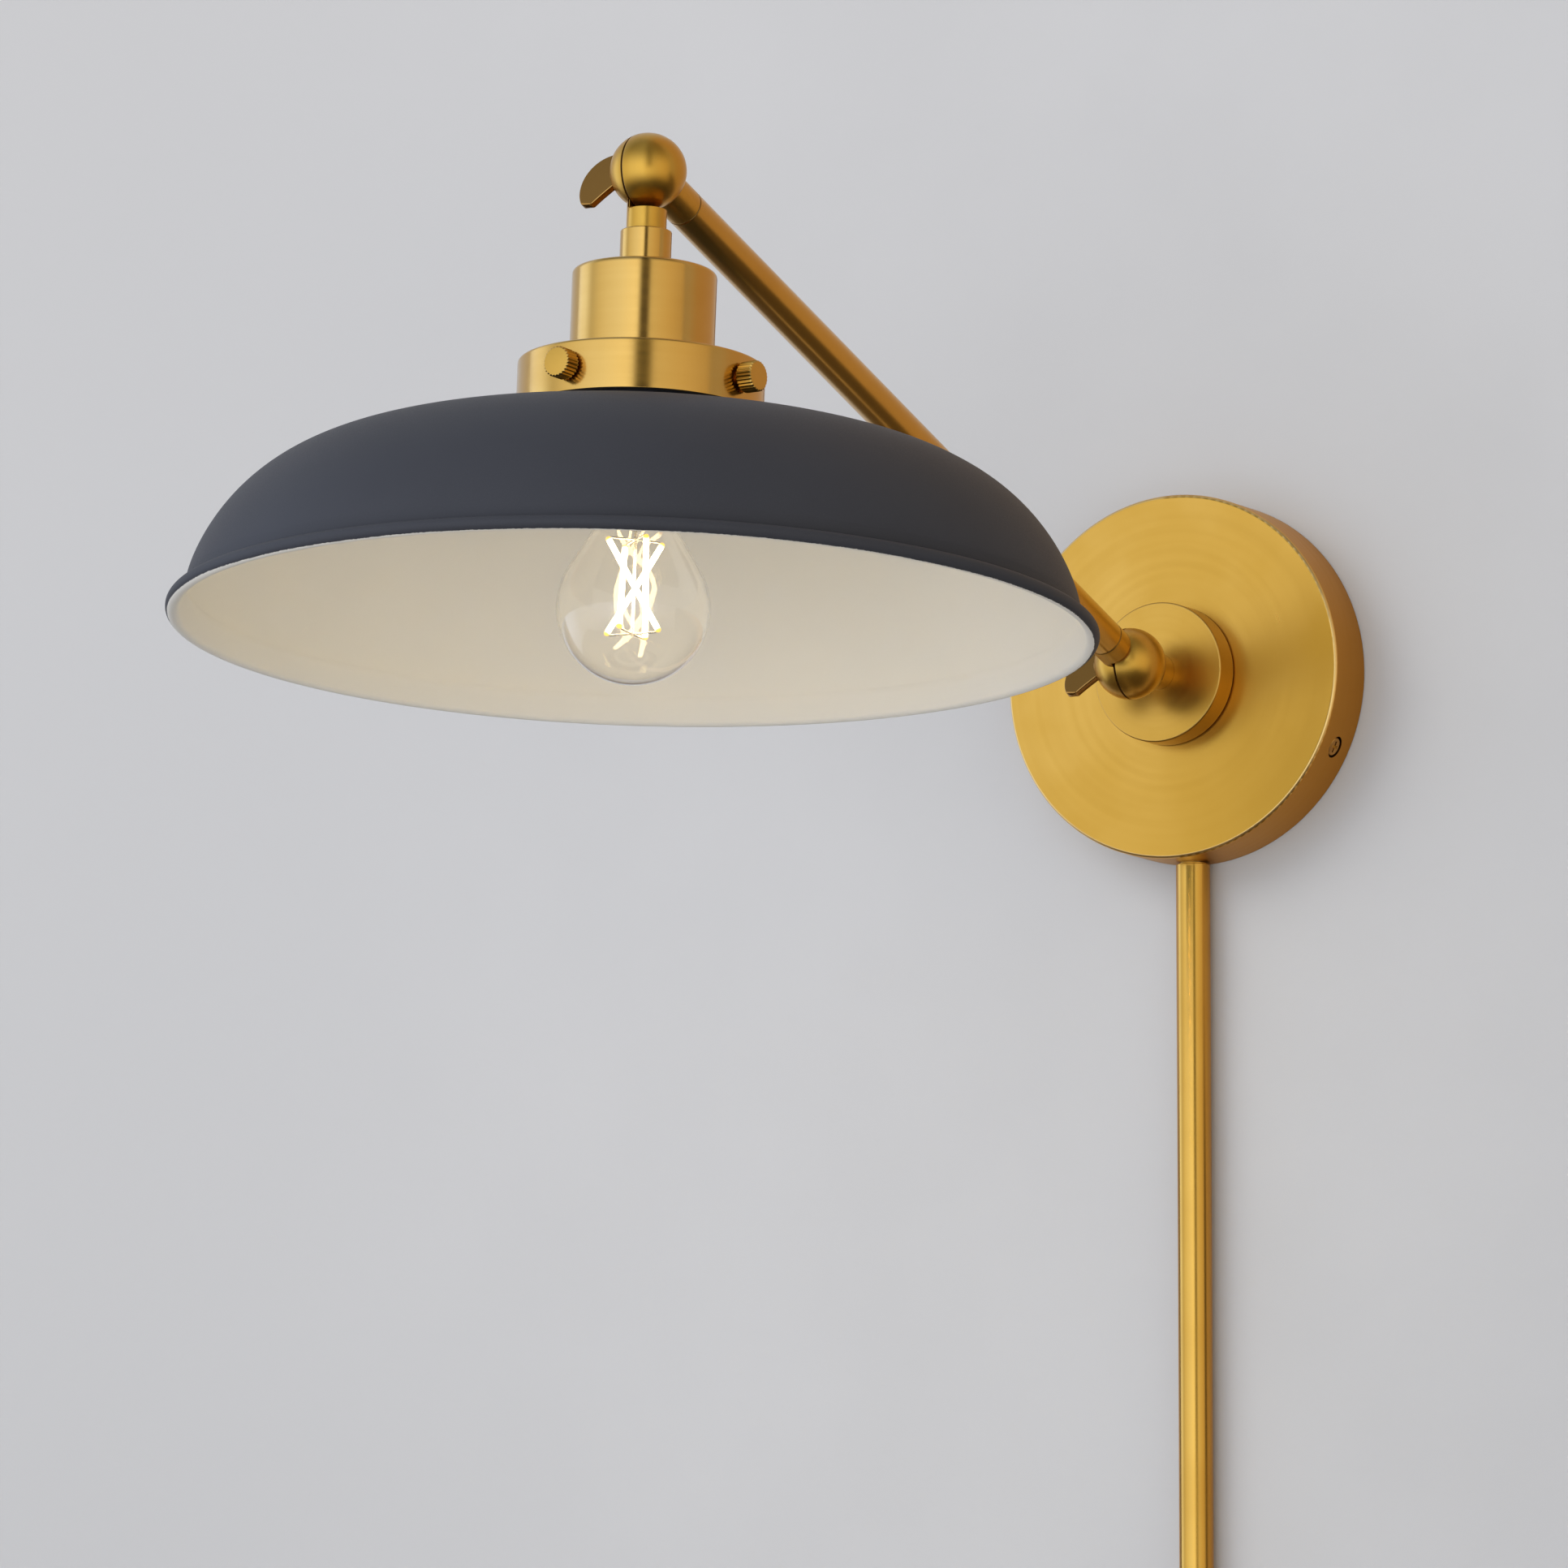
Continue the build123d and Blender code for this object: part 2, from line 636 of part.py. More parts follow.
front_inside = canopy_depth - canopy_front_wall
nut_face = front_inside - spring_washer_height - tiny
nipple_end = nut_face - nut_height - nipple_tail
neck_length = lower_ball_out - hub_front
tube_bore = tube_dia - 2 * tube_wall
cord_nut_seat = sqrt((canopy_r - canopy_side_wall) ** 2 - cord_nut_across_flats**2 / 3) - tiny

place("mounting_strap", wall_frame, mounting_strap())
place("earth_screw", wall_frame, earth_screw())
place("canopy_cover", wall_frame, canopy_cover())
place("canopy_side_screws", wall_frame, side_screws())
place("cord_cover_tube", cover_frame, pipe(cover_dia, cover_bore, cover_top, cover_end))
place("cord_cover_plug", cover_frame,
      pipe(cover_bore - 2 * fit, nipple_dia + fit, canopy_r + fit, cover_top + spigot_length))
place("cord_cover_nipple", cover_frame,
      pipe(nipple_dia, nipple_bore, canopy_r - cord_nipple_tail, cover_top + cord_nipple_reach))
place("cord_cover_nut", cover_frame,
      hex_nut(cord_nut_across_flats, nipple_dia + fit, cord_nut_seat - nut_height, cord_nut_seat))
bushing = rod(cover_dia, cover_end, cover_end + bushing_lip)
bushing += rod(cover_bore - 2 * fit, cover_end - bushing_depth, cover_end + bushing_lip / 3)
bushing = fillet(bushing.edges().filter_by(GeomType.CIRCLE).sort_by(Axis.Z)[-1], bushing_lip * 0.4)
cord_hole = rod(cord_hole_dia, cover_end - 2 * bushing_depth, cover_end + 2 * bushing_lip)
place("cord_cover_bushing", cover_frame, bushing - cord_hole)
nodes["canopy_flex"] = canopy_flex()

washer_front = canopy_depth + tiny + washer_thickness
place("swivel_thrust_washer", wall_frame,
      pipe(hub_dia * 0.8, nipple_dia + 4 * tiny, canopy_depth + tiny, washer_front))
place("swivel_hub", wall_frame, swivel_hub())
place("swivel_nipple", wall_frame, pipe(nipple_dia, nipple_bore, nipple_end, hub_front + nipple_reach))
place("swivel_spring_washer", wall_frame,
      pipe(spring_washer_dia, nipple_dia + 2 * tiny, nut_face, front_inside - tiny))
place("swivel_lock_nut", wall_frame,
      hex_nut(nut_across_flats, nipple_dia + fit, nut_face - nut_height, nut_face))
place("lower_knuckle_fixed", neck_frame,
      knuckle_half(1, lower_seam, neck_length, neck_length - nipple_reach - bore_slack, False))
place("lower_friction_ring", neck_frame, friction_ring(lower_seam))
place("lower_wing_key", key_frame(lower_centre, lower_key_angle), wing_key())

place("lower_knuckle_moving", arm_frame,
      knuckle_half(-1, lower_seam, lower_stem_end, bore_floor, True))
place("arm_tube", arm_frame, arm_tube())
place("arm_flex", arm_frame,
      rod(flex_dia, lower_stem_end - flex_reach, arm_length - upper_stem_end + flex_reach))
place("upper_knuckle_fixed", back_frame,
      knuckle_half(1, upper_seam, upper_stem_end, bore_floor, True))
place("upper_friction_ring", back_frame, friction_ring(upper_seam))
place("upper_wing_key", key_frame(upper_centre, upper_key_angle), wing_key())

place("upper_knuckle_moving", head_frame,
      knuckle_half(-1, upper_seam, collar_top, collar_top - head_nipple_reach - bore_slack, False))
place("stem_collar", head_frame, stem_collar())
place("head_nipple", head_frame,
      pipe(nipple_dia, nipple_bore, collar_top - head_nipple_reach, holder_top + head_nipple_reach))
place("socket_cup", head_frame, socket_cup())
cup_inside = cup_top + cup_wall
place("cup_lock_nut", head_frame,
      hex_nut(nut_across_flats, nipple_dia + fit, cup_inside, cup_inside + nut_height))
place("shade_gallery", head_frame, shade_gallery())
plate_under = gallery_top + gallery_wall
place("gallery_ring_nut", head_frame,
      pipe(holder_dia + 2 * ring_nut_width, holder_dia + 2 * fit, plate_under, plate_under + ring_nut_width))
place("lampholder_body", head_frame, lampholder_body())
place("lampholder_shell", head_frame, screw_shell())
place("lampholder_contact", head_frame, centre_contact())
place("head_flex", head_frame, rod(flex_dia, collar_top - flex_reach, holder_floor - 2 * shell_wall))
place("shade", head_frame, shade())
place("bulb_base", head_frame, bulb_base())
place("bulb_insulator", head_frame, bulb_insulator())
place("bulb_contact", head_frame, rod(bulb_contact_dia, bulb_contact, bulb_contact + bulb_contact_height))
place("bulb_glass", head_frame, bulb_glass())
place("bulb_mount", head_frame, bulb_mount())
place("bulb_filaments", head_frame, filaments())
place("bulb_lead_wires", head_frame, lead_wires())
for number in range(thumb_count):
    nodes[f"thumb_screw_{number + 1}"] = thumb_frame(number) * thumb_screw()

os.makedirs("parts", exist_ok=True)
for name, shape in nodes.items():
    export_step(shape, f"parts/{name}.step")
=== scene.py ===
"""Looks of a swing arm wall sconce: satin brass canopy, arm and head, slate shade, clear filament bulb."""
import logging
from collections.abc import Mapping, Sequence
from dataclasses import dataclass, field
from enum import Enum
from math import cos, pi, radians, sin, sqrt

import bmesh
import bpy
import numpy as np
from mathutils import Matrix, Vector


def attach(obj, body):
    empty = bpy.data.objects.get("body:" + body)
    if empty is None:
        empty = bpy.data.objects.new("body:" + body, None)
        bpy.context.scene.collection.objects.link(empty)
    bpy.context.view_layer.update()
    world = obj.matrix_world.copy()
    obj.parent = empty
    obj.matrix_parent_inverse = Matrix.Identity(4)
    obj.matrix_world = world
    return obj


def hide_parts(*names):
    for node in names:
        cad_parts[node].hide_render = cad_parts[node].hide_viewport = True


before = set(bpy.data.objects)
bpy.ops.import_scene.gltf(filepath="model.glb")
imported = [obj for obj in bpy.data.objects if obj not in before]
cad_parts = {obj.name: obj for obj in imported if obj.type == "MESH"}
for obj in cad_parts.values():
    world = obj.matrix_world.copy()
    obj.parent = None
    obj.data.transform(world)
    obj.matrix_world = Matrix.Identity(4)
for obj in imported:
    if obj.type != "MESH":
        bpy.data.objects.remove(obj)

Array = np.ndarray
Pair = tuple[float, float]
Triple = tuple[float, float, float]
Socket = bpy.types.NodeSocket
Material = bpy.types.Material
MM = 0.001
CORNER_STEPS = 7
MERGE_DISTANCE = 2e-7
SHARP_ANGLE = radians(34)
CLOUD_SPAN = (0.3, 0.7)
LOG = logging.getLogger("sconce")
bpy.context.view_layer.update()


class Body(Enum):
    """The moving groups that a piece can ride on."""

    WALL = "wall_side"
    HUB = "hub"
    ARM = "arm"
    HEAD = "head"
    LOWER_KEY = "lower_key"
    UPPER_KEY = "upper_key"
    THUMB_1 = "thumb_1"
    THUMB_2 = "thumb_2"
    THUMB_3 = "thumb_3"
    THUMB_4 = "thumb_4"


class Slot(Enum):
    """Names of the record's material slots, passed along with new pieces."""

    BRASS = "brass"
    SHADE = "shade_paint"
    GLASS = "clear_glass"
    FILAMENT = "filament"


class BrushLay(Enum):
    """How the brushing runs on a metal face: round the piece's axis, along it, or along its right side."""

    ROUND = "round"
    ALONG = "along"
    STRAIGHT = "straight"


class KnuckleSide(Enum):
    """The half of a split ball that holds the key's thread, or the half under the key's head."""

    THREAD = 1
    KEY = -1


class Ramp(Enum):
    """How a value runs from one end of a range to the other."""

    SMOOTH = "SMOOTHSTEP"
    EVEN = "LINEAR"


class Ray(Enum):
    """Kinds of light rays that a material can tell apart."""

    CAMERA = "Is Camera Ray"
    GLOSSY = "Is Glossy Ray"
    SHADOW = "Is Shadow Ray"
    TRANSMISSION = "Is Transmission Ray"


@dataclass(frozen=True)
class Axes:
    """A right-handed set of axes, in millimetres of the shared frame.

    Args:
        origin: where the local zero sits.
        right: direction of the local x axis.
        way: direction of the local z axis.
    """

    origin: Triple
    right: Triple
    way: Triple

    def rows(self) -> Array:
        """Directions of local x, y and z as three rows."""
        right, way = np.array(self.right, float), np.array(self.way, float)
        return np.stack((right, np.cross(way, right), way))

    def place(self, local: Array) -> Array:
        """Carry local millimetre points into the shared frame, in metres."""
        return (np.array(self.origin) + local @ self.rows()) * MM

    def at(self, local: Sequence[float]) -> Triple:
        """One local point in the shared frame, in millimetres."""
        return tuple(float(v) for v in np.array(self.origin) + np.array(local, float) @ self.rows())

    def lean(self, local: Sequence[float]) -> Triple:
        """One local direction in the shared frame."""
        return tuple(float(v) for v in np.array(local, float) @ self.rows())

    def mapping(self) -> tuple[Vector, Triple]:
        """Location, and rotation in radians, that bring Object coordinates in millimetres onto these axes."""
        turn = Matrix(self.rows().tolist())
        return -(turn @ Vector(self.origin)), tuple(turn.to_euler("XYZ"))


@dataclass(frozen=True)
class Stance:
    """Where the lamp's parts stand at rest, in millimetres and degrees."""

    lower_out: float = 63.46
    arm_length: float = 424.9
    arm_pitch: float = 18.71
    head_tilt: float = 3.7
    collar_top: float = 23.9
    cover_out: float = 7.15

    @property
    def lower_centre(self) -> Triple:
        """Centre of the lower ball."""
        return (0.0, -self.lower_out, 0.0)

    @property
    def upper_centre(self) -> Triple:
        """Centre of the upper ball."""
        return self.arm().at((0, 0, self.arm_length))

    def wall(self) -> Axes:
        """Axes that leave the wall at the canopy's middle."""
        return Axes((0, 0, 0), (1, 0, 0), (0, -1, 0))

    def neck(self) -> Axes:
        """Axes from the lower ball back to the wall."""
        return Axes(self.lower_centre, (1, 0, 0), (0, 1, 0))

    def arm(self) -> Axes:
        """Axes from the lower ball up the arm."""
        pitch = radians(self.arm_pitch)
        return Axes(self.lower_centre, (1, 0, 0), (0, -cos(pitch), sin(pitch)))

    def back(self) -> Axes:
        """Axes from the upper ball back down the arm."""
        return Axes(self.upper_centre, (1, 0, 0), self.arm().lean((0, 0, -1)))

    def head(self) -> Axes:
        """Axes from the upper ball down through the shade."""
        tilt = radians(self.head_tilt)
        return Axes(self.upper_centre, (1, 0, 0), (0, -sin(tilt), -cos(tilt)))

    def cover(self) -> Axes:
        """Axes down the cord cover tube."""
        return Axes((0, -self.cover_out, 0), (1, 0, 0), (0, 0, -1))

    def ball(self, centre: Triple) -> Axes:
        """Axes of a ball, with z along the pivot."""
        return Axes(centre, (0, 0, -1), (1, 0, 0))

    def key(self, centre: Triple, angle: float) -> Axes:
        """Axes of a wing key: x out of the ball, y down its lever."""
        lean = radians(angle)
        return Axes(centre, (-1, 0, 0), (0, -cos(lean), sin(lean)))

    def thumb(self, height: float, angle: float) -> Axes:
        """Axes of a thumb screw: z out of the gallery's side."""
        turn, head = radians(angle), self.head()
        return Axes(head.at((0, 0, height)), head.way, head.lean((sin(turn), cos(turn), 0)))


STANCE = Stance()


@dataclass
class Grid:
    """A closed shell of points over two parameters.

    Args:
        points: array of rows, columns and xyz, in local millimetres.
        mark: a value for every point, such as how much its edge is rubbed.
        loop: True where the last row joins the first.
    """

    points: Array
    mark: Array
    loop: bool = False

    def faces(self) -> Array:
        """Corners of the four-sided faces between neighbouring rows and columns; columns close on themselves.

        Returns:
            Four point numbers for every face.
        """
        rows, columns = self.points.shape[:2]
        i, j = np.meshgrid(np.arange(rows if self.loop else rows - 1), np.arange(columns), indexing="ij")
        below, beside = (i + 1) % rows, (j + 1) % columns
        corners = (i * columns + j, i * columns + beside, below * columns + beside, below * columns + j)
        return np.stack(corners, -1).reshape(-1, 4)


def unit(vectors: Array) -> Array:
    """Vectors divided by their length; a vector of no length stays as it is."""
    size = np.linalg.norm(vectors, axis=-1, keepdims=True)
    return vectors / np.where(size > 0, size, 1)


def columns_round(around: int) -> Array:
    """Angles of this many columns, spread evenly over one turn."""
    return np.arange(around) * (2 * pi / around)


def soften(corners: Sequence[Pair], cuts: Sequence[float]) -> tuple[Array, Array]:
    """Round the corners of a profile.

    A corner P becomes (1 - s)^2 A + 2 s (1 - s) P + s^2 B at CORNER_STEPS places s from 0 to 1, where A and
    B lie one cut away from P towards the corners before and after it.

    Args:
        corners: profile corners in order, as (radius, height).
        cuts: how far each corner is cut back, 0 for a sharp one.

    Returns:
        The profile's points, and a mark that is 1 halfway round each cut corner and 0 on the flats.
    """
    corner = np.array(corners, float)[:, None]
    cut = np.array(cuts, float)[:, None, None]
    first = corner + unit(np.roll(corner, 1, 0) - corner) * cut
    last = corner + unit(np.roll(corner, -1, 0) - corner) * cut
    s = np.linspace(0, 1, CORNER_STEPS)[None, :, None]
    points = (1 - s) ** 2 * first + 2 * s * (1 - s) * corner + s**2 * last
    mark = 4 * s * (1 - s) * (cut > 0)
    return points.reshape(-1, 2), mark.reshape(-1)


def soft_corner(before: Pair, corner: Pair, after: Pair, cut: float) -> tuple[Array, Array]:
    """One corner rounded by soften, without its neighbours.

    Args:
        before: point before the corner.
        corner: the corner.
        after: point after it.
        cut: how far it is cut back.

    Returns:
        The corner's points and marks.
    """
    points, mark = soften((before, corner, after), (0, cut, 0))
    own = slice(CORNER_STEPS, 2 * CORNER_STEPS)
    return points[own], mark[own]


def bend(start: Pair, through: Pair, end: Pair, steps: int) -> Array:
    """Points of the circle arc from start to end that passes through a third point.

    The centre is equally far from all three; the arc is centre + radius (cos t, sin t) with t swept
    from start to end on the side of the third point.

    Args:
        start: first point of the plane.
        through: point on the arc.
        end: last point.
        steps: number of points.

    Returns:
        An array of steps by 2.
    """
    a, b, c = (np.array(p, float) for p in (start, through, end))
    rows = 2 * np.stack((b - a, c - a))
    centre = np.linalg.solve(rows, np.array((b @ b - a @ a, c @ c - a @ a)))
    angle = [np.arctan2(*(p - centre)[::-1]) for p in (a, b, c)]
    half = (angle[1] - angle[0] + pi) % (2 * pi) - pi
    rest = (angle[2] - angle[1] + pi) % (2 * pi) - pi
    t = angle[0] + np.linspace(0, half + rest, steps)
    return centre + np.linalg.norm(a - centre) * np.stack((np.cos(t), np.sin(t)), -1)


def turned(profile: Array, mark: Array, loop: bool, around: int) -> Grid:
    """Surface of revolution: the point at turn u and profile place v is (r(v) cos u, r(v) sin u, h(v)).

    Args:
        profile: rows of (radius, height).
        mark: one value for each row.
        loop: True for a ring whose section closes on itself, False for a body that ends on its axis.
        around: number of columns.

    Returns:
        The grid, in local millimetres about the z axis.
    """
    u = columns_round(around)
    radius, height = profile[:, :1], profile[:, 1:]
    points = np.stack((radius * np.cos(u), radius * np.sin(u), height + 0 * u), -1)
    return Grid(points, np.repeat(mark[:, None], around, 1), loop)


def ring(corners: Sequence[Pair], cuts: Sequence[float], around: int) -> Grid:
    """A turned ring from the corners of its section, rounded by soften."""
    return turned(*soften(corners, cuts), True, around)


def spindle(corners: Sequence[Pair], cuts: Sequence[float], around: int) -> Grid:
    """A turned solid body whose first and last corners lie on its axis."""
    return turned(*soften(corners, cuts), False, around)


def sleeve(bore: float, radius: float, ends: Pair, cut: float, around: int) -> Grid:
    """A turned tube between two heights, with both outer edges cut back by the same amount."""
    (start, end), cuts = ends, (0, cut, cut, 0)
    return ring(((bore, start), (radius, start), (radius, end), (bore, end)), cuts, around)


def pan(bore: float, radius: float, wall: float, ends: Pair, cuts: Sequence[float], around: int) -> Grid:
    """A turned cap: a flat top with a hole in it and a straight side, both of one wall.

    Args:
        bore: radius of the hole.
        radius: outer radius.
        wall: thickness of top and side.
        ends: heights of its top and of its open edge.
        cuts: how far its corners are cut back, from the hole's upper edge round to its lower one.
        around: number of columns.

    Returns:
        The grid.
    """
    (top, end), inner = ends, radius - wall
    corners = ((bore, top), (radius, top), (radius, end), (inner, end), (inner, top + wall), (bore, top + wall))
    return ring(corners, cuts, around)


def shaded(colour: Triple, by: float) -> Triple:
    """A colour made lighter or darker by one factor."""
    return tuple(value * by for value in colour)


def linked(name: str, data: bpy.types.ID) -> bpy.types.Object:
    """A new object of this data in the scene.

    Args:
        name: its name.
        data: its mesh, lamp or camera.

    Returns:
        The object.
    """
    made = bpy.data.objects.new(name, data)
    bpy.context.scene.collection.objects.link(made)
    return made


@dataclass
class Skin:
    """A piece's mesh, gathered from closed shells on their own axes.

    Args:
        name: the piece's name.
        mark_name: name of the attribute that holds the shells' marks.
        shells: the shells, each with its axes.
    """

    name: str
    mark_name: str = "edge"
    shells: list[tuple[Grid, Axes]] = field(default_factory=list)

    def add(self, grid: Grid, axes: Axes) -> "Skin":
        """Take in one shell and return the skin, so that calls chain."""
        self.shells.append((grid, axes))
        return self

    def gather(self) -> tuple[Array, Array, Array]:
        """Join the shells, with every face pointing outwards.

        A shell's volume is the sum of a . (b x c) / 6 over its triangles; where it is negative, the
        shell's faces are turned round.

        Returns:
            Points in metres, faces as corner numbers, and marks.
        """
        points, faces, marks, count = [], [], [], 0
        for grid, axes in self.shells:
            spot = axes.place(grid.points.reshape(-1, 3))
            face = grid.faces()
            a, b, c, d = (spot[face[:, k]] - spot.mean(0) for k in range(4))
            volume = np.sum(a * np.cross(b, c)) + np.sum(a * np.cross(c, d))
            faces.append((face if volume > 0 else face[:, ::-1]) + count)
            points.append(spot)
            marks.append(grid.mark.reshape(-1))
            count += len(spot)
        return np.concatenate(points), np.concatenate(faces), np.concatenate(marks)

    def mesh(self) -> bpy.types.Mesh:
        """The skin as a smooth mesh, with rows that meet in one point merged and hard corners kept.

        Returns:
            The mesh.
        """
        points, faces, marks = self.gather()
        mesh = bpy.data.meshes.new(self.name)
        mesh.from_pydata(points.tolist(), [], faces.tolist())
        mesh.attributes.new(self.mark_name, "FLOAT", "POINT").data.foreach_set("value", marks.astype(np.float32))
        work = bmesh.new()
        work.from_mesh(mesh)
        bmesh.ops.remove_doubles(work, verts=work.verts, dist=MERGE_DISTANCE)
        work.to_mesh(mesh)
        work.free()
        mesh.shade_smooth()
        mesh.set_sharp_from_angle(angle=SHARP_ANGLE)
        return mesh

    def piece(self, body: Body, nodes: Sequence[str], slot: Slot, finish: Material) -> None:
        """Make the object, put its finish on, and let it stand for its CAD nodes.

        Args:
            body: what it rides on.
            nodes: CAD nodes that it replaces.
            slot: the record's material slot; not used.
            finish: its material.
        """
        made = linked(self.name, self.mesh())
        made.data.materials.append(finish)
        made.modifiers.new("even_shading", "WEIGHTED_NORMAL").keep_sharp = True
        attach(made, body.value)
        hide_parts(*nodes)
        LOG.info("piece %s: %d faces, rides on %s", self.name, len(made.data.polygons), body.value)


class Wiring:
    """Short calls that add nodes to one node tree and join them."""

    def __init__(self, tree: bpy.types.NodeTree) -> None:
        """Start with an empty tree."""
        self.tree = tree
        self.tree.nodes.clear()

    def add(self, kind: str, inputs: Mapping[str | int, object] | None = None, **settings: object) -> bpy.types.Node:
        """Add one node.

        Args:
            kind: Blender's name of the node type.
            inputs: values or sockets for its inputs.
            settings: its own properties.

        Returns:
            The node.
        """
        node = self.tree.nodes.new(kind)
        for key, value in settings.items():
            setattr(node, key, value)
        for key, value in (inputs or {}).items():
            self.feed(node.inputs[key], value)
        return node

    def feed(self, socket: Socket, value: object) -> None:
        """Join a socket to another, or set its value.

        Args:
            socket: an input.
            value: another node's output, or a plain value.
        """
        if isinstance(value, Socket):
            self.tree.links.new(value, socket)
        else:
            socket.default_value = value

    def local(self, axes: Axes) -> Socket:
        """Object coordinates in millimetres on the given axes.

        Args:
            axes: where they are measured from.

        Returns:
            The place as x, y and z.
        """
        location, turn = axes.mapping()
        spot = self.add("ShaderNodeTexCoord").outputs["Object"]
        given = {"Vector": spot, "Location": location, "Rotation": turn, "Scale": (1 / MM, 1 / MM, 1 / MM)}
        return self.add("ShaderNodeMapping", given).outputs["Vector"]

    def math(self, kind: str, *values: object) -> Socket:
        """Result of one Math node."""
        return self.add("ShaderNodeMath", dict(enumerate(values)), operation=kind).outputs[0]

    def noise(self, spot: Socket, scale: float, detail: float) -> Socket:
        """Cloudy values between 0 and 1, at this many features in a millimetre and layers of detail."""
        given = {"Vector": spot, "Scale": scale, "Detail": detail}
        return self.add("ShaderNodeTexNoise", given).outputs["Fac"]

    def span(self, value: object, start: float, end: float, low: float, high: float, run: Ramp = Ramp.SMOOTH) -> Socket:
        """Bring a value from one range into another and hold it there."""
        given = {0: value, 1: start, 2: end, 3: low, 4: high}
        return self.add("ShaderNodeMapRange", given, interpolation_type=run.value).outputs[0]

    def mix(self, share: object, one: object, other: object) -> Socket:
        """Colour between two others.

        Args:
            share: how much of the other colour it takes.
            one: first colour.
            other: the other colour.

        Returns:
            The mixed colour.
        """
        node = self.add("ShaderNodeMix", data_type="RGBA")
        for key, value in ((0, share), (6, one), (7, other)):
            self.feed(node.inputs[key], value if isinstance(value, (float, Socket)) else (*value, 1.0))
        return node.outputs[2]

    def mottle(self, cloud: Socket, colour: Triple, share: float, by: float) -> Socket:
        """A colour whose clouds take a share of a lighter or darker shade of it."""
        return self.mix(self.span(cloud, *CLOUD_SPAN, 0.0, share), colour, shaded(colour, by))

    def apart(self, spot: Socket) -> tuple[Socket, ...]:
        """Its x, y and z."""
        return tuple(self.add("ShaderNodeSeparateXYZ", {0: spot}).outputs)

    def joined(self, *values: object) -> Socket:
        """A place from its x, y and z."""
        return self.add("ShaderNodeCombineXYZ", dict(enumerate(values))).outputs[0]

    def along(self, spot: Socket, way: Triple) -> Socket:
        """How far a place lies along a direction."""
        return self.add("ShaderNodeVectorMath", {0: spot, 1: way}, operation="DOT_PRODUCT").outputs["Value"]

    def length(self, spot: Socket) -> Socket:
        """Distance from zero."""
        return self.add("ShaderNodeVectorMath", {0: spot}, operation="LENGTH").outputs["Value"]

    def radius(self, spot: Socket) -> Socket:
        """Distance from the third axis."""
        return self.length(self.add("ShaderNodeVectorMath", {0: spot, 1: (1, 1, 0)}, operation="MULTIPLY").outputs[0])

    def mark(self, name: str) -> Socket:
        """The mark that a skin holds under this name."""
        return self.add("ShaderNodeAttribute", attribute_name=name).outputs["Fac"]

    def ray(self, kind: Ray) -> Socket:
        """1 for rays of this kind and 0 for others."""
        return self.add("ShaderNodeLightPath").outputs[kind.value]


class Coating(Wiring):
    """One node material: a Principled shader, its output, and calls that set it."""

    def __init__(self, name: str) -> None:
        """Start a material with its shader and output.

        Args:
            name: the material's name.
        """
        self.material = bpy.data.materials.new(name)
        self.material.use_nodes = True
        super().__init__(self.material.node_tree)
        self.output = self.add("ShaderNodeOutputMaterial")
        self.shader = self.add("ShaderNodeBsdfPrincipled")
        self.feed(self.output.inputs["Surface"], self.shader.outputs[0])

    def set(self, **values: object) -> None:
        """Set the shader's sockets; an underscore in a name stands for a space."""
        for key, value in values.items():
            self.feed(self.shader.inputs[key.replace("_", " ")], value)

    def relief(self, height: Socket, strength: float, depth: float) -> None:
        """Small relief on the shader, depth in millimetres."""
        given = {"Strength": strength, "Distance": depth * MM, "Height": height}
        self.feed(self.shader.inputs["Normal"], self.add("ShaderNodeBump", given).outputs[0])

    def clear(self, share: Socket, tint: Triple = (1.0, 1.0, 1.0)) -> None:
        """Let light of a tint pass straight on by a share.

        Args:
            share: 0 for the shader alone and 1 for nothing to be seen.
            tint: colour of the light that passes.
        """
        open_way = self.add("ShaderNodeBsdfTransparent", {"Color": (*tint, 1.0)}).outputs[0]
        both = self.add("ShaderNodeMixShader", {0: share, 1: self.shader.outputs[0], 2: open_way})
        self.feed(self.output.inputs["Surface"], both.outputs[0])


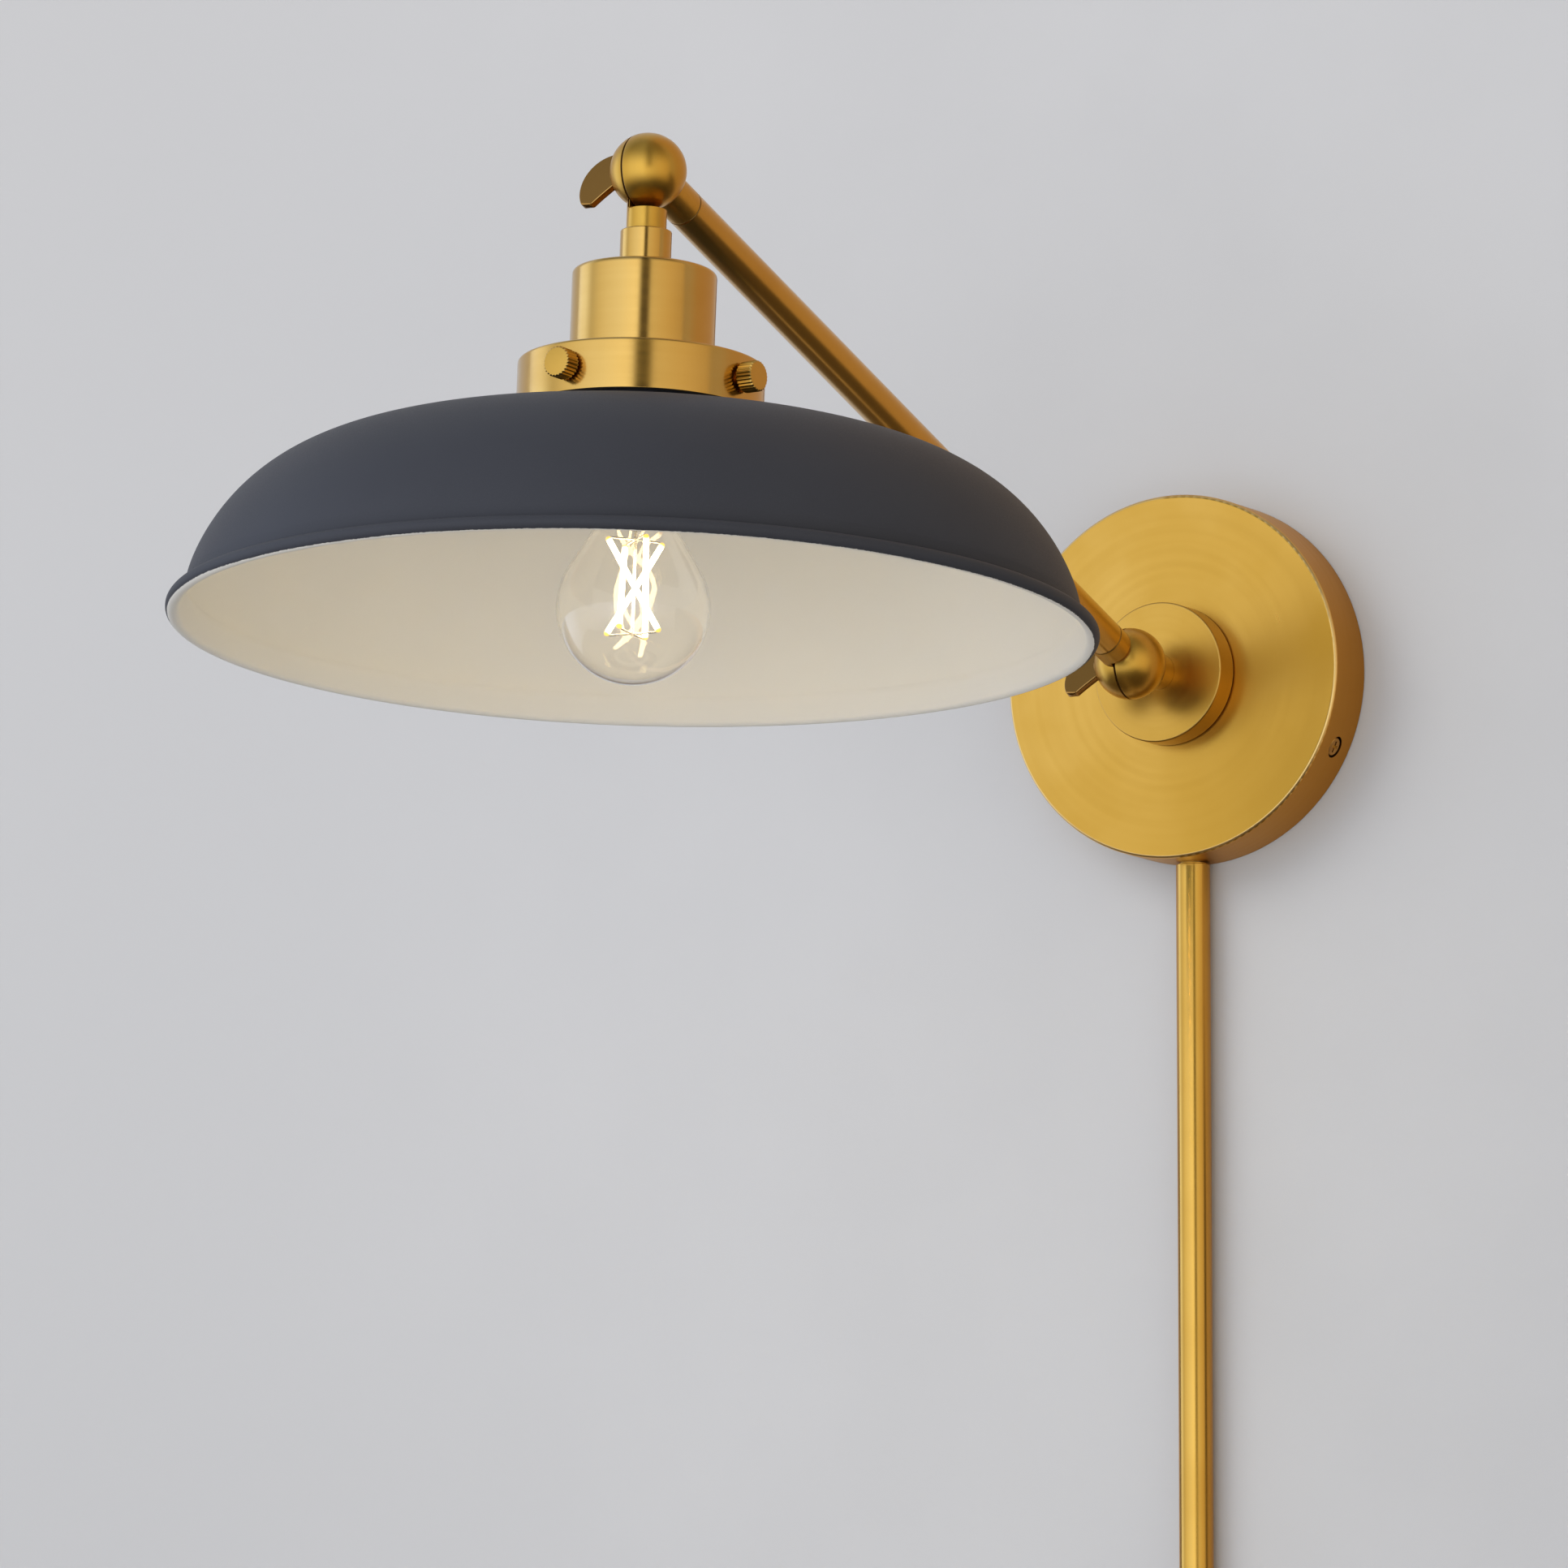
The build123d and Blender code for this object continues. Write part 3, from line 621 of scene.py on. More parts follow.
@dataclass(frozen=True)
class SatinBrass:
    """Lacquered brass with fine brushing, slow changes of tone, marked edges and, where set, painted shade.

    A noise is given as features in a millimetre and layers of detail, a span as its two ends.

    Args:
        name: the material's name.
        axes: axes that the brushing follows.
        lay: how the brushing runs.
        edge_tone: colour of marked edges: bright where worn, on the canopy's rim also a painted highlight, and darker
            along a seam.
        edge_share: how much of that colour shows.
        gold: main colour.
        deep: colour of the darker clouds.
        grain: strength of the brushing's relief.
        rough: how rough it is at its smoothest.
        lacquer: how much clear lacquer lies on it.
        painted_shade_share: share of the deep colour painted low and to the right as shade.
            painted_shade_way, painted_shade_span: direction in which the painted shade grows, and where along it it
                begins and is full.
        fine_noise, broad_noise, cloud_noise: brush lines, streaks and clouds.
        cloud_span, cloud_share: noise values between which a cloud comes up, and how deep it gets.
        broad_span, broad_share: the same for streaks.
        rough_span, rough_swing: noise values between which a streak gets rougher, and by how much.
        relief_depth: depth of the brushing in millimetres.
        lacquer_rough, lacquer_bend: how rough the lacquer is, and how strongly it bends light.
        straight_squeeze, along_squeeze, round_trace: how far each lay draws its lines out.
    """

    name: str
    axes: Axes
    lay: BrushLay = BrushLay.ROUND
    edge_tone: Triple = (0.68, 0.46, 0.15)
    edge_share: float = 0.3
    gold: Triple = (0.60, 0.352, 0.058)
    deep: Triple = (0.54, 0.297, 0.04)
    grain: float = 0.035
    rough: float = 0.19
    lacquer: float = 0.3
    painted_shade_share: float = 0.0
    painted_shade_way: Triple = (0.8, -0.6, 0.0)
    painted_shade_span: Pair = (-50.0, 75.0)
    fine_noise: Pair = (2.4, 3.0)
    broad_noise: Pair = (0.35, 2.0)
    cloud_noise: Pair = (0.025, 3.0)
    cloud_span: Pair = (0.35, 0.7)
    cloud_share: float = 0.45
    broad_span: Pair = (0.3, 0.75)
    broad_share: float = 0.12
    rough_span: Pair = (0.25, 0.75)
    rough_swing: float = 0.04
    relief_depth: float = 0.03
    lacquer_rough: float = 0.1
    lacquer_bend: float = 1.5
    straight_squeeze: float = 0.05
    along_squeeze: float = 0.02
    round_trace: float = 0.03

    def brush(self, wire: Wiring, spot: Socket) -> Socket:
        """Coordinates in which clouds are drawn out into brush lines.

        Round brushing depends on the distance from the axis and the height along it, with a trace of
        the place round it; brushing along the axis or along the right side is squeezed on that axis.

        Args:
            wire: the material's nodes.
            spot: place on the brushing's axes.

        Returns:
            The drawn-out place.
        """
        x, y, z = wire.apart(spot)
        if self.lay is BrushLay.STRAIGHT:
            return wire.joined(wire.math("MULTIPLY", x, self.straight_squeeze), y, z)
        if self.lay is BrushLay.ALONG:
            return wire.joined(x, y, wire.math("MULTIPLY", z, self.along_squeeze))
        return wire.joined(wire.radius(spot), wire.math("MULTIPLY", x, self.round_trace), z)

    def edge(self, wire: Wiring, spot: Socket) -> Socket:
        """How much an edge is worn bright, by the skin's own mark."""
        return wire.mark("edge")

    def painted_seat_shade(self, wire: Wiring, spot: Socket, tone: Socket) -> Socket:
        """Colour with painted shade in the screw seats; plain brass has none."""
        return tone

    def material(self) -> Material:
        """Brass that mixes towards its deep colour in clouds, in painted shade and in streaks, then edges and painted
        seat shade.

        Returns:
            The finished node material.
        """
        wire = Coating(self.name)
        spot = wire.local(self.axes)
        lines = self.brush(wire, spot)
        broad = wire.noise(lines, *self.broad_noise)
        cloud = wire.noise(spot, *self.cloud_noise)
        edge = wire.math("MULTIPLY", self.edge(wire, spot), self.edge_share)
        tone = wire.mix(wire.span(cloud, *self.cloud_span, 0.0, self.cloud_share), self.gold, self.deep)
        # painted shade: the brass darker towards the lower right, where the canopy and hub lie in shade
        tone = wire.mix(wire.span(wire.along(spot, self.painted_shade_way), *self.painted_shade_span, 0.0, self.painted_shade_share), tone, self.deep)
        tone = wire.mix(wire.span(broad, *self.broad_span, 0.0, self.broad_share), tone, self.deep)
        # edges, then painted shade in the canopy's screw seats; plain brass has none
        tone = self.painted_seat_shade(wire, spot, wire.mix(edge, tone, self.edge_tone))
        rough = wire.span(broad, *self.rough_span, self.rough, self.rough + self.rough_swing)
        rough = wire.math("ADD", rough, wire.span(cloud, *CLOUD_SPAN, 0.0, self.rough_swing))
        wire.set(Base_Color=tone, Metallic=1.0, Roughness=rough)
        wire.set(Coat_Weight=self.lacquer, Coat_Roughness=self.lacquer_rough, Coat_IOR=self.lacquer_bend)
        wire.relief(wire.noise(lines, *self.fine_noise), self.grain, self.relief_depth)
        return wire.material


@dataclass(frozen=True)
class CanopyBrass(SatinBrass):
    """Brass of the turned canopy: its worn, highlighted edge and the painted shade in its screw seats go by place.

    Args:
        rim: radius plus height, in millimetres, past which the turned edge is worn bright and carries a painted
            highlight.
        rim_fade: how far the wear and painted highlight take to show fully.
        seat_angle: direction of the two side screws, in degrees.
        seat_height: their height above the wall.
        seat_radius: radius of the seat round a screw's head.
        seat_fade: how far the painted shade takes to end.
        seat_shade_tone: colour of the painted shade in the seat.
    """

    rim: float = 100.85
    rim_fade: float = 0.4
    seat_angle: float = -25.7
    seat_height: float = 12.4
    seat_radius: float = 4.6
    seat_fade: float = 0.15
    seat_shade_tone: Triple = (0.05, 0.025, 0.008)

    def edge(self, wire: Wiring, spot: Socket) -> Socket:
        """How much the turned edge is worn bright and carries a painted highlight: radius plus height past the rim."""
        past = wire.math("ADD", wire.radius(spot), wire.apart(spot)[2])
        return wire.span(past, self.rim, self.rim + self.rim_fade, 0.0, 1.0)

    def painted_seat_shade(self, wire: Wiring, spot: Socket, tone: Socket) -> Socket:
        """Colour darkened by painted shade where the distance from the screws' axis is less than the seat's radius.

        Args:
            wire: the material's nodes.
            spot: place on the canopy's axes.
            tone: colour of the clean brass.

        Returns:
            The colour with painted shade.
        """
        turn = radians(self.seat_angle)
        aside = wire.along(spot, (-sin(turn), cos(turn), 0.0))
        height = wire.math("SUBTRACT", wire.apart(spot)[2], self.seat_height)
        away = wire.length(wire.joined(aside, height))
        # painted shadow in the recess round each side screw
        seat_shade = wire.span(away, self.seat_radius, self.seat_radius + self.seat_fade, 1.0, 0.0)
        return wire.mix(seat_shade, tone, self.seat_shade_tone)


@dataclass(frozen=True)
class ShadePaint:
    """Matte slate outside and warm white inside, with an uneven paint line round the bead.

    Args:
        name: the material's name.
        axes: axes of the shade.
        slate: outside colour.
        cream: inside colour.
        gloss: how much it mirrors.
        rough: how rough it is in its smoothest and its coarsest grain.
        ragged, ragged_noise: how far the paint line strays, and the noise that it strays by.
        line_span: marks between which outside turns to inside.
        grain_noise, grain_span: the grain, and the noise values between which it comes up.
        slate_grain, slate_clouds, cream_clouds: how much they show, and their shade.
        cloud_noise: the clouds.
        relief: strength of the grain's relief, and its depth in millimetres.
    """

    name: str
    axes: Axes
    slate: Triple = (0.046, 0.0485, 0.057)
    cream: Triple = (0.742, 0.715, 0.64)
    gloss: float = 0.14
    rough: Pair = (0.48, 0.58)
    ragged: float = 0.5
    ragged_noise: Pair = (0.8, 2.0)
    line_span: Pair = (0.44, 0.56)
    grain_noise: Pair = (2.2, 3.0)
    grain_span: Pair = (0.4, 0.8)
    slate_grain: Pair = (0.2, 1.5)
    slate_clouds: Pair = (0.25, 0.8)
    cream_clouds: Pair = (0.3, 0.95)
    cloud_noise: Pair = (0.02, 2.0)
    relief: Pair = (0.12, 0.04)

    def material(self) -> Material:
        """Slate or cream by the liner's mark, with clouds in both and a pale grain in the slate.

        Returns:
            The finished node material.
        """
        wire = Coating(self.name)
        spot = wire.local(self.axes)
        grain = wire.noise(spot, *self.grain_noise)
        cloud = wire.noise(spot, *self.cloud_noise)
        stray = wire.math("SUBTRACT", wire.noise(spot, *self.ragged_noise), 0.5)
        line = wire.math("ADD", wire.mark("liner"), wire.math("MULTIPLY", stray, self.ragged))
        share, shade = self.slate_grain
        slate = wire.mottle(cloud, self.slate, *self.slate_clouds)
        slate = wire.mix(wire.span(grain, *self.grain_span, 0.0, share), slate, shaded(self.slate, shade))
        cream = wire.mottle(cloud, self.cream, *self.cream_clouds)
        wire.set(Base_Color=wire.mix(wire.span(line, *self.line_span, 0.0, 1.0), slate, cream))
        wire.set(Roughness=wire.span(grain, *CLOUD_SPAN, *self.rough), Specular_IOR_Level=self.gloss)
        wire.relief(grain, *self.relief)
        return wire.material


@dataclass(frozen=True)
class ClearGlass:
    """Thin blown glass that lets lamp light through.

    Args:
        name: the material's name.
        axes: axes of the bulb.
        tint: colour of the glass.
        painted_glow: colour of a faint painted glow that the glass itself gives off.
        painted_glow_strength: how bright that is.
        index: how strongly it bends light.
        ripple_noise: features in a millimetre and layers of its ripples.
        ripple: strength of the ripples, and their depth in millimetres.
    """

    name: str
    axes: Axes
    tint: Triple = (1.0, 0.995, 0.98)
    painted_glow: Triple = (1.0, 0.86, 0.64)
    painted_glow_strength: float = 0.02
    index: float = 1.45
    ripple_noise: Pair = (0.06, 1.0)
    ripple: Pair = (0.05, 0.4)

    def material(self) -> Material:
        """Clear glass with faint ripples and a faint painted glow; rays towards lamps pass straight on.

        Returns:
            The finished node material.
        """
        wire = Coating(self.name)
        wire.set(Base_Color=(*self.tint, 1.0), Transmission_Weight=1.0, Roughness=0.0, IOR=self.index)
        # painted glow: the glass itself gives off faint warm light round the filaments
        wire.set(Emission_Color=(*self.painted_glow, 1.0), Emission_Strength=self.painted_glow_strength)
        wire.relief(wire.noise(wire.local(self.axes), *self.ripple_noise), *self.ripple)
        wire.clear(wire.ray(Ray.SHADOW), self.tint)
        return wire.material


@dataclass(frozen=True)
class GlowingStick:
    """Phosphor-coated filament, white hot along its middle and amber at its ends.

    Args:
        name: the material's name.
        axes: axes of the bulb.
        strength: how bright the middle is.
        white: light of the middle.
        amber: light of the ends.
        coating, rough: colour of the coat, and how rough it is.
        glow_span: the skin's marks between which amber turns white.
        patch_noise: features in a millimetre and layers of its patches.
        patch_span: noise values between which a patch brightens.
        patch_least: light left in the dimmest patch.
    """

    name: str
    axes: Axes
    strength: float = 36.0
    white: Triple = (1.0, 0.80, 0.47)
    amber: Triple = (0.03, 0.018, 0.003)
    coating: Triple = (0.9, 0.6, 0.15)
    rough: float = 0.5
    glow_span: Pair = (0.15, 0.9)
    patch_noise: Pair = (0.9, 1.0)
    patch_span: Pair = (0.2, 0.8)
    patch_least: float = 0.85

    def material(self) -> Material:
        """Light that turns from amber to white by the skin's mark, a little uneven.

        Returns:
            The finished node material.
        """
        wire = Coating(self.name)
        patch = wire.noise(wire.local(self.axes), *self.patch_noise)
        even = wire.span(patch, *self.patch_span, self.patch_least, 1.0)
        share = wire.math("MULTIPLY", wire.span(wire.mark("glow"), *self.glow_span, 0.0, 1.0), even)
        wire.set(Base_Color=(*self.coating, 1.0), Roughness=self.rough)
        wire.set(Emission_Color=wire.mix(share, self.amber, self.white), Emission_Strength=self.strength)
        return wire.material


@dataclass(frozen=True)
class PlatedMetal:
    """Bright plating with faint scratches, for caps, nuts, screws and straps.

    Args:
        name: the material's name.
        colour: main colour.
        dull: colour of its stains.
        rough: how rough it is on average.
        metal: 1 for bare metal and 0 for enamel.
        stain_noise: features in a millimetre and layers of the stains.
        stain_span: noise values between which a stain comes up.
        stain_share: how much of the dull colour a stain takes.
        grain_noise: features in a millimetre and layers of the scratches.
        rough_range: what its roughness is multiplied by, from smooth to scratched.
        relief: strength of the scratches, and their depth in millimetres.
    """

    name: str
    colour: Triple
    dull: Triple
    rough: float
    metal: float = 1.0
    stain_noise: Pair = (0.15, 4.0)
    stain_span: Pair = (0.35, 0.75)
    stain_share: float = 0.8
    grain_noise: Pair = (1.8, 3.0)
    rough_range: Pair = (0.85, 1.25)
    relief: Pair = (0.1, 0.03)

    def material(self) -> Material:
        """Plating with stains, rougher where the scratches are.

        Returns:
            The finished node material.
        """
        wire = Coating(self.name)
        spot = wire.local(STANCE.wall())
        stain = wire.span(wire.noise(spot, *self.stain_noise), *self.stain_span, 0.0, self.stain_share)
        grain = wire.noise(spot, *self.grain_noise)
        wire.set(Base_Color=wire.mix(stain, self.colour, self.dull), Metallic=self.metal)
        smooth, scratched = self.rough_range
        wire.set(Roughness=wire.span(grain, *CLOUD_SPAN, self.rough * smooth, self.rough * scratched))
        wire.relief(grain, *self.relief)
        return wire.material


@dataclass(frozen=True)
class Moulded:
    """Moulded or glazed insulation with a fine skin.

    Args:
        name: the material's name.
        colour: main colour.
        rough: how rough it is on average.
        grain, grain_detail: features in a millimetre, and layers, of its skin.
        cloud_noise: features in a millimetre and layers of its clouds.
        clouds: how much they show, and their shade.
        rough_range: what its roughness is multiplied by, from smooth to coarse.
        relief: strength of the skin's relief, and its depth in millimetres.
    """

    name: str
    colour: Triple
    rough: float
    grain: float
    grain_detail: float = 3.0
    cloud_noise: Pair = (0.1, 2.0)
    clouds: Pair = (0.5, 0.8)
    rough_range: Pair = (0.9, 1.15)
    relief: Pair = (0.15, 0.04)

    def material(self) -> Material:
        """Clouded colour under a skin that is rougher in places.

        Returns:
            The finished node material.
        """
        wire = Coating(self.name)
        spot = wire.local(STANCE.wall())
        skin = wire.noise(spot, self.grain, self.grain_detail)
        smooth, coarse = self.rough_range
        wire.set(Base_Color=wire.mottle(wire.noise(spot, *self.cloud_noise), self.colour, *self.clouds))
        wire.set(Roughness=wire.span(skin, *CLOUD_SPAN, self.rough * smooth, self.rough * coarse))
        wire.relief(skin, *self.relief)
        return wire.material


def dress(finish: Material, *nodes: str) -> None:
    """Put a finish on CAD nodes that are shown as they are.

    Args:
        finish: the material.
        nodes: names of the nodes.
    """
    for name in nodes:
        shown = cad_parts[name]
        if not shown.material_slots:
            shown.data.materials.append(finish)
        for place in shown.material_slots:
            place.material = finish
        LOG.info("node %s wears %s", name, finish.name)


@dataclass(frozen=True)
class WallMount:
    """Canopy, strap, swivel hub and cord cover."""

    hub_radius: float = 29.2
    hub_ends: Pair = (26.6, 38.6)
    hub_round: float = 0.8
    hub_columns: int = 192
    nipple_radius: float = 4.925
    tube_radius: float = 7.1
    tube_bore: float = 5.9
    tube_ends: Pair = (76.8, 432.4)
    tube_round: float = 0.3
    tube_columns: int = 128
    gold: Triple = (0.6, 0.355, 0.07)
    deep: Triple = (0.53, 0.285, 0.03)
    # worn rim colour, bright enough to be a painted highlight along the canopy's edge as well
    rim_wear_and_highlight: Triple = (0.9, 0.66, 0.28)

    def hub(self, brass: Material) -> None:
        """Turned boss that carries the lower knuckle."""
        boss = sleeve(self.nipple_radius, self.hub_radius, self.hub_ends, self.hub_round, self.hub_columns)
        Skin("swivel_boss").add(boss, STANCE.wall()).piece(Body.HUB, ["swivel_hub"], Slot.BRASS, brass)

    def cord_cover(self, brass: Material) -> None:
        """Long tube that hides the lead on the wall."""
        tube = sleeve(self.tube_bore, self.tube_radius, self.tube_ends, self.tube_round, self.tube_columns)
        Skin("cord_cover").add(tube, STANCE.cover()).piece(Body.WALL, ["cord_cover_tube"], Slot.BRASS, brass)

    def build(self) -> None:
        """Build and dress everything on the wall, and dress the hidden hardware of the whole lamp."""
        # the hub and canopy get painted shade towards their lower right
        look = {"gold": self.gold, "deep": self.deep, "rough": 0.27, "lacquer": 0.05, "painted_shade_share": 0.7}
        brass = SatinBrass("hub_brass", STANCE.wall(), **look).material()
        rimmed = CanopyBrass("canopy_brass", STANCE.wall(), edge_tone=self.rim_wear_and_highlight, edge_share=0.7, **look).material()
        cover_brass = SatinBrass("cord_cover_brass", STANCE.cover(), BrushLay.ALONG).material()
        screw_brass = PlatedMetal("screw_brass", (0.58, 0.37, 0.11), (0.3, 0.17, 0.05), 0.34).material()
        zinc = PlatedMetal("zinc_plate", (0.62, 0.62, 0.6), (0.42, 0.41, 0.38), 0.35).material()
        green = PlatedMetal("earth_enamel", (0.05, 0.24, 0.07), (0.03, 0.15, 0.05), 0.4, 0.0).material()
        fibre = Moulded("pressed_fibre", (0.1, 0.065, 0.04), 0.7, 0.8).material()
        black = Moulded("black_moulding", (0.03, 0.03, 0.03), 0.45, 1.4).material()
        jacket = Moulded("flex_jacket", (0.035, 0.035, 0.037), 0.55, 0.9).material()
        self.hub(brass)
        self.cord_cover(cover_brass)
        dress(rimmed, "canopy_cover")
        dress(screw_brass, "canopy_side_screws")
        dress(cover_brass, "cord_cover_plug")
        dress(zinc, "mounting_strap", "cord_cover_nipple", "cord_cover_nut", "swivel_nipple", "swivel_lock_nut",
              "swivel_spring_washer", "head_nipple", "cup_lock_nut", "gallery_ring_nut")
        dress(green, "earth_screw")
        dress(fibre, "swivel_thrust_washer", "lower_friction_ring", "upper_friction_ring")
        dress(black, "cord_cover_bushing")
        dress(jacket, "canopy_flex", "arm_flex", "head_flex")


@dataclass(frozen=True)
class Knuckle:
    """Split ball joint with two stems and a wing key.

    Args:
        name: word that starts its pieces' names.
        centre: the ball's middle.
        seam: place of the split along the pivot.
        key_angle: how far the key's lever leans out from straight down.
        wing_crown, wing_nose, wing_belly: points that the lever's curves pass through, as shares of its
            reach past the ball and of its rise (crown) or drop (nose and belly).
        wing_close: inset at the lever's two ends, larger than its section, so that they close in a point.
    """

    name: str
    centre: Triple
    seam: float
    key_angle: float
    ball: float = 14.8
    gap: float = 0.6
    rim_round: float = 0.3
    rim_cut: float = 0.27
    key_flat: float = 13.3
    ball_rows: int = 48
    ball_columns: int = 144
    stem_radius: float = 7.7
    stem_foot: float = 9.6
    stem_edge: float = 0.15
    stem_columns: int = 112
    clearance: float = 0.8
    seam_chamfer: float = 0.6
    spigot_radius: float = 6.45
    spigot: float = 14.0
    wing_reach: float = 28.2
    wing_drop: float = 13.8
    wing_rise: float = 8.4
    wing_tip: float = 3.9
    wing_tip_share: float = 0.835
    wing_toe_share: float = 0.97
    wing_shoulder_share: float = 0.42
    wing_crown: Pair = (0.707, 0.52)
    wing_nose: Pair = (0.955, 0.75)
    wing_belly: Pair = (0.256, 0.64)
    wing_thickness: float = 3.2
    wing_round: float = 0.45
    wing_bevel: float = 0.135
    wing_heel: float = 5.5
    wing_crown_points: int = 400
    wing_nose_points: int = 200
    wing_rows: int = 60
    wing_corner_rows: int = 6
    wing_close: float = 9.0
    boss_radius: float = 3.3
    boss_length: float = 2.0
    boss_round: float = 0.6
    boss_heel: float = 0.25
    seat_gap: float = 0.1
    key_radius: float = 2.5
    key_tip: float = 0.4
    key_columns: int = 96

    def face(self, side: KnuckleSide) -> float:
        """Place of one half's flat face along the pivot."""
        return self.seam + side.value * self.gap / 2

    def half_ball(self, side: KnuckleSide) -> Grid:
        """Half of a ball turned about the pivot.

        Its edge is R (sin t, cos t) from the rim to the pole, or to the flat under the key; the rim is
        rounded into the flat face by soften.

        Args:
            side: which half.

        Returns:
            The shell on the ball's axes.
        """
        face = self.face(side)
        reach = self.ball if side is KnuckleSide.THREAD else self.key_flat
        rim = sqrt(self.ball**2 - face**2)
        start = np.arccos(face / self.ball) - side.value * self.rim_round / self.ball
        end = 0.0 if side is KnuckleSide.THREAD else np.arccos(-reach / self.ball)
        t = np.linspace(start, end, self.ball_rows)
        arc = self.ball * np.stack((np.sin(t), np.cos(t)), -1)
        first = (rim - self.rim_round, face)
        corner, mark = soft_corner(first, (rim, face), tuple(arc[0]), self.rim_cut)
        profile = np.concatenate((((0.0, face), first), corner, arc, ((0.0, side.value * reach),)))
        marks = np.concatenate(((0.0, 0.0), mark, np.zeros(len(arc)), (0.0,)))
        return turned(profile, marks, False, self.ball_columns)

    def stem(self, side: KnuckleSide, end: float, spigot: bool) -> Grid:
        """Round stem that is cut away beside the other half of the ball.

        It is a turned body whose x is held on its own side of the seam, max(x, face) or min(x, face), over
        its first three corners, up to where it clears the ball.

        Args:
            side: which half it belongs to.
            end: its end, from the ball's middle.
            spigot: True where a tube slips over its end.

        Returns:
            The shell on the stem's axes.
        """
        r, clear = self.stem_radius, self.ball + self.clearance
        corners = [(0, self.stem_foot), (r, self.stem_foot), (r, clear), (r, clear), (r, end)]
        cuts = [0.0, 0, 0, 0, self.seam_chamfer if spigot else self.stem_edge]
        tail = [(self.spigot_radius, end), (self.spigot_radius, end + self.spigot)] if spigot else []
        corners += tail + [(0, end + self.spigot if spigot else end)]
        grid = spindle(corners, cuts + [0.0] * (len(tail) + 1), self.stem_columns)
        beside = np.arange(len(grid.points)) < 3 * CORNER_STEPS
        x, face = grid.points[..., 0], self.face(side)
        held = np.maximum(x, face) if side is KnuckleSide.THREAD else np.minimum(x, face)
        grid.points[..., 0] = np.where(beside[:, None], held, x)
        return grid

    def half(self, side: KnuckleSide, stem_axes: Axes, end: float, spigot: bool, body: Body, node: str,
             brass: Material) -> None:
        """Build one half with its stem.

        Args:
            side: which half.
            stem_axes: axes that the stem leaves along.
            end: the stem's end, from the ball's middle.
            spigot: True where a tube slips over its end.
            body: what it rides on.
            node: CAD node that it replaces.
            brass: its finish.
        """
        skin = Skin(f"{self.name}_{side.name.lower()}_half").add(self.half_ball(side), STANCE.ball(self.centre))
        skin.add(self.stem(side, end, spigot), stem_axes).piece(body, [node], Slot.BRASS, brass)

    def wing_edges(self) -> tuple[Array, Array]:
        """Back and belly of the lever: circle arcs over crown and nose, set out evenly, and one arc below.

        Returns:
            Points of the back and of the belly, row by row.
        """
        root = self.key_flat + self.seat_gap
        span, drop, rise = self.wing_reach - root, self.wing_drop, self.wing_rise
        (crown_x, crown_y), (nose_x, nose_y), (belly_x, belly_y) = self.wing_crown, self.wing_nose, self.wing_belly
        tip = (root + span * self.wing_tip_share, drop)
        shoulder = (self.wing_reach, drop * self.wing_shoulder_share)
        toe = (tip[0] - self.wing_tip, drop * self.wing_toe_share)
        crown = bend((root, -rise), (root + span * crown_x, -rise * crown_y), shoulder, self.wing_crown_points)
        nose = bend(shoulder, (root + span * nose_x, drop * nose_y), tip, self.wing_nose_points)
        back = np.concatenate((crown, nose[1:]))
        way = np.concatenate(((0,), np.cumsum(np.linalg.norm(np.diff(back, axis=0), axis=1))))
        place = np.linspace(0, way[-1], self.wing_rows)
        back = np.stack([np.interp(place, way, back[:, k]) for k in range(2)], -1)
        belly = bend((root, self.wing_heel), (root + span * belly_x, drop * belly_y), toe, self.wing_rows)
        return back, belly

    def wing(self) -> Grid:
        """Curved lever of the key.

        At place t the section reaches from the belly B(t) to the back C(t): a box with rounded corners,
        (B + C) / 2 + a (C - B) / |C - B| + b n, carried along the lever and drawn in to a point at
        both ends.

        Returns:
            The shell on the key's axes.
        """
        back, belly = self.wing_edges()
        edge = np.array((self.wing_close, self.wing_round, self.wing_bevel))
        inset = np.concatenate((edge, np.zeros(self.wing_rows - 2 * len(edge)), edge[::-1]))
        middle, across = (back + belly) / 2, unit(back - belly)
        half = np.maximum(np.linalg.norm(back - belly, axis=-1) / 2 - inset, 0)[:, None]
        thick = np.maximum(self.wing_thickness / 2 - inset, 0)[:, None]
        s = np.linspace(0, pi / 2, self.wing_corner_rows)
        curve = np.concatenate([s + quarter * pi / 2 for quarter in range(4)])
        side_a = np.repeat((1.0, -1.0, -1.0, 1.0), self.wing_corner_rows)
        side_b = np.repeat((1.0, 1.0, -1.0, -1.0), self.wing_corner_rows)
        cut = np.minimum(self.wing_round, np.minimum(half, thick))
        a = side_a * (half - cut) + cut * np.cos(curve)
        b = side_b * (thick - cut) + cut * np.sin(curve)
        flat = middle[:, None] + across[:, None] * a[..., None]
        mark = np.repeat(np.sin(2 * curve)[None] ** 2, len(flat), 0)
        return Grid(np.concatenate((flat, b[..., None]), -1), mark)

    def key(self, body: Body, node: str, brass: Material) -> None:
        """Build the wing key: lever, boss and clamp screw.

        Args:
            body: what it rides on.
            node: CAD node that it replaces.
            brass: its finish.
        """
        axes = STANCE.key(self.centre, self.key_angle)
        start = self.key_flat + self.seat_gap
        end = start + self.boss_length
        corners = ((0, -self.ball / 2), (self.key_radius, -self.ball / 2), (self.key_radius, start),
                   (self.boss_radius, start), (self.boss_radius, end), (0, end))
        screw = spindle(corners, (0, self.key_tip, 0, self.boss_heel, self.boss_round, 0), self.key_columns)
        screw_axes = Axes(self.centre, axes.way, (-1, 0, 0))
        skin = Skin(f"{self.name}_wing").add(self.wing(), axes).add(screw, screw_axes)
        skin.piece(body, [node], Slot.BRASS, brass)


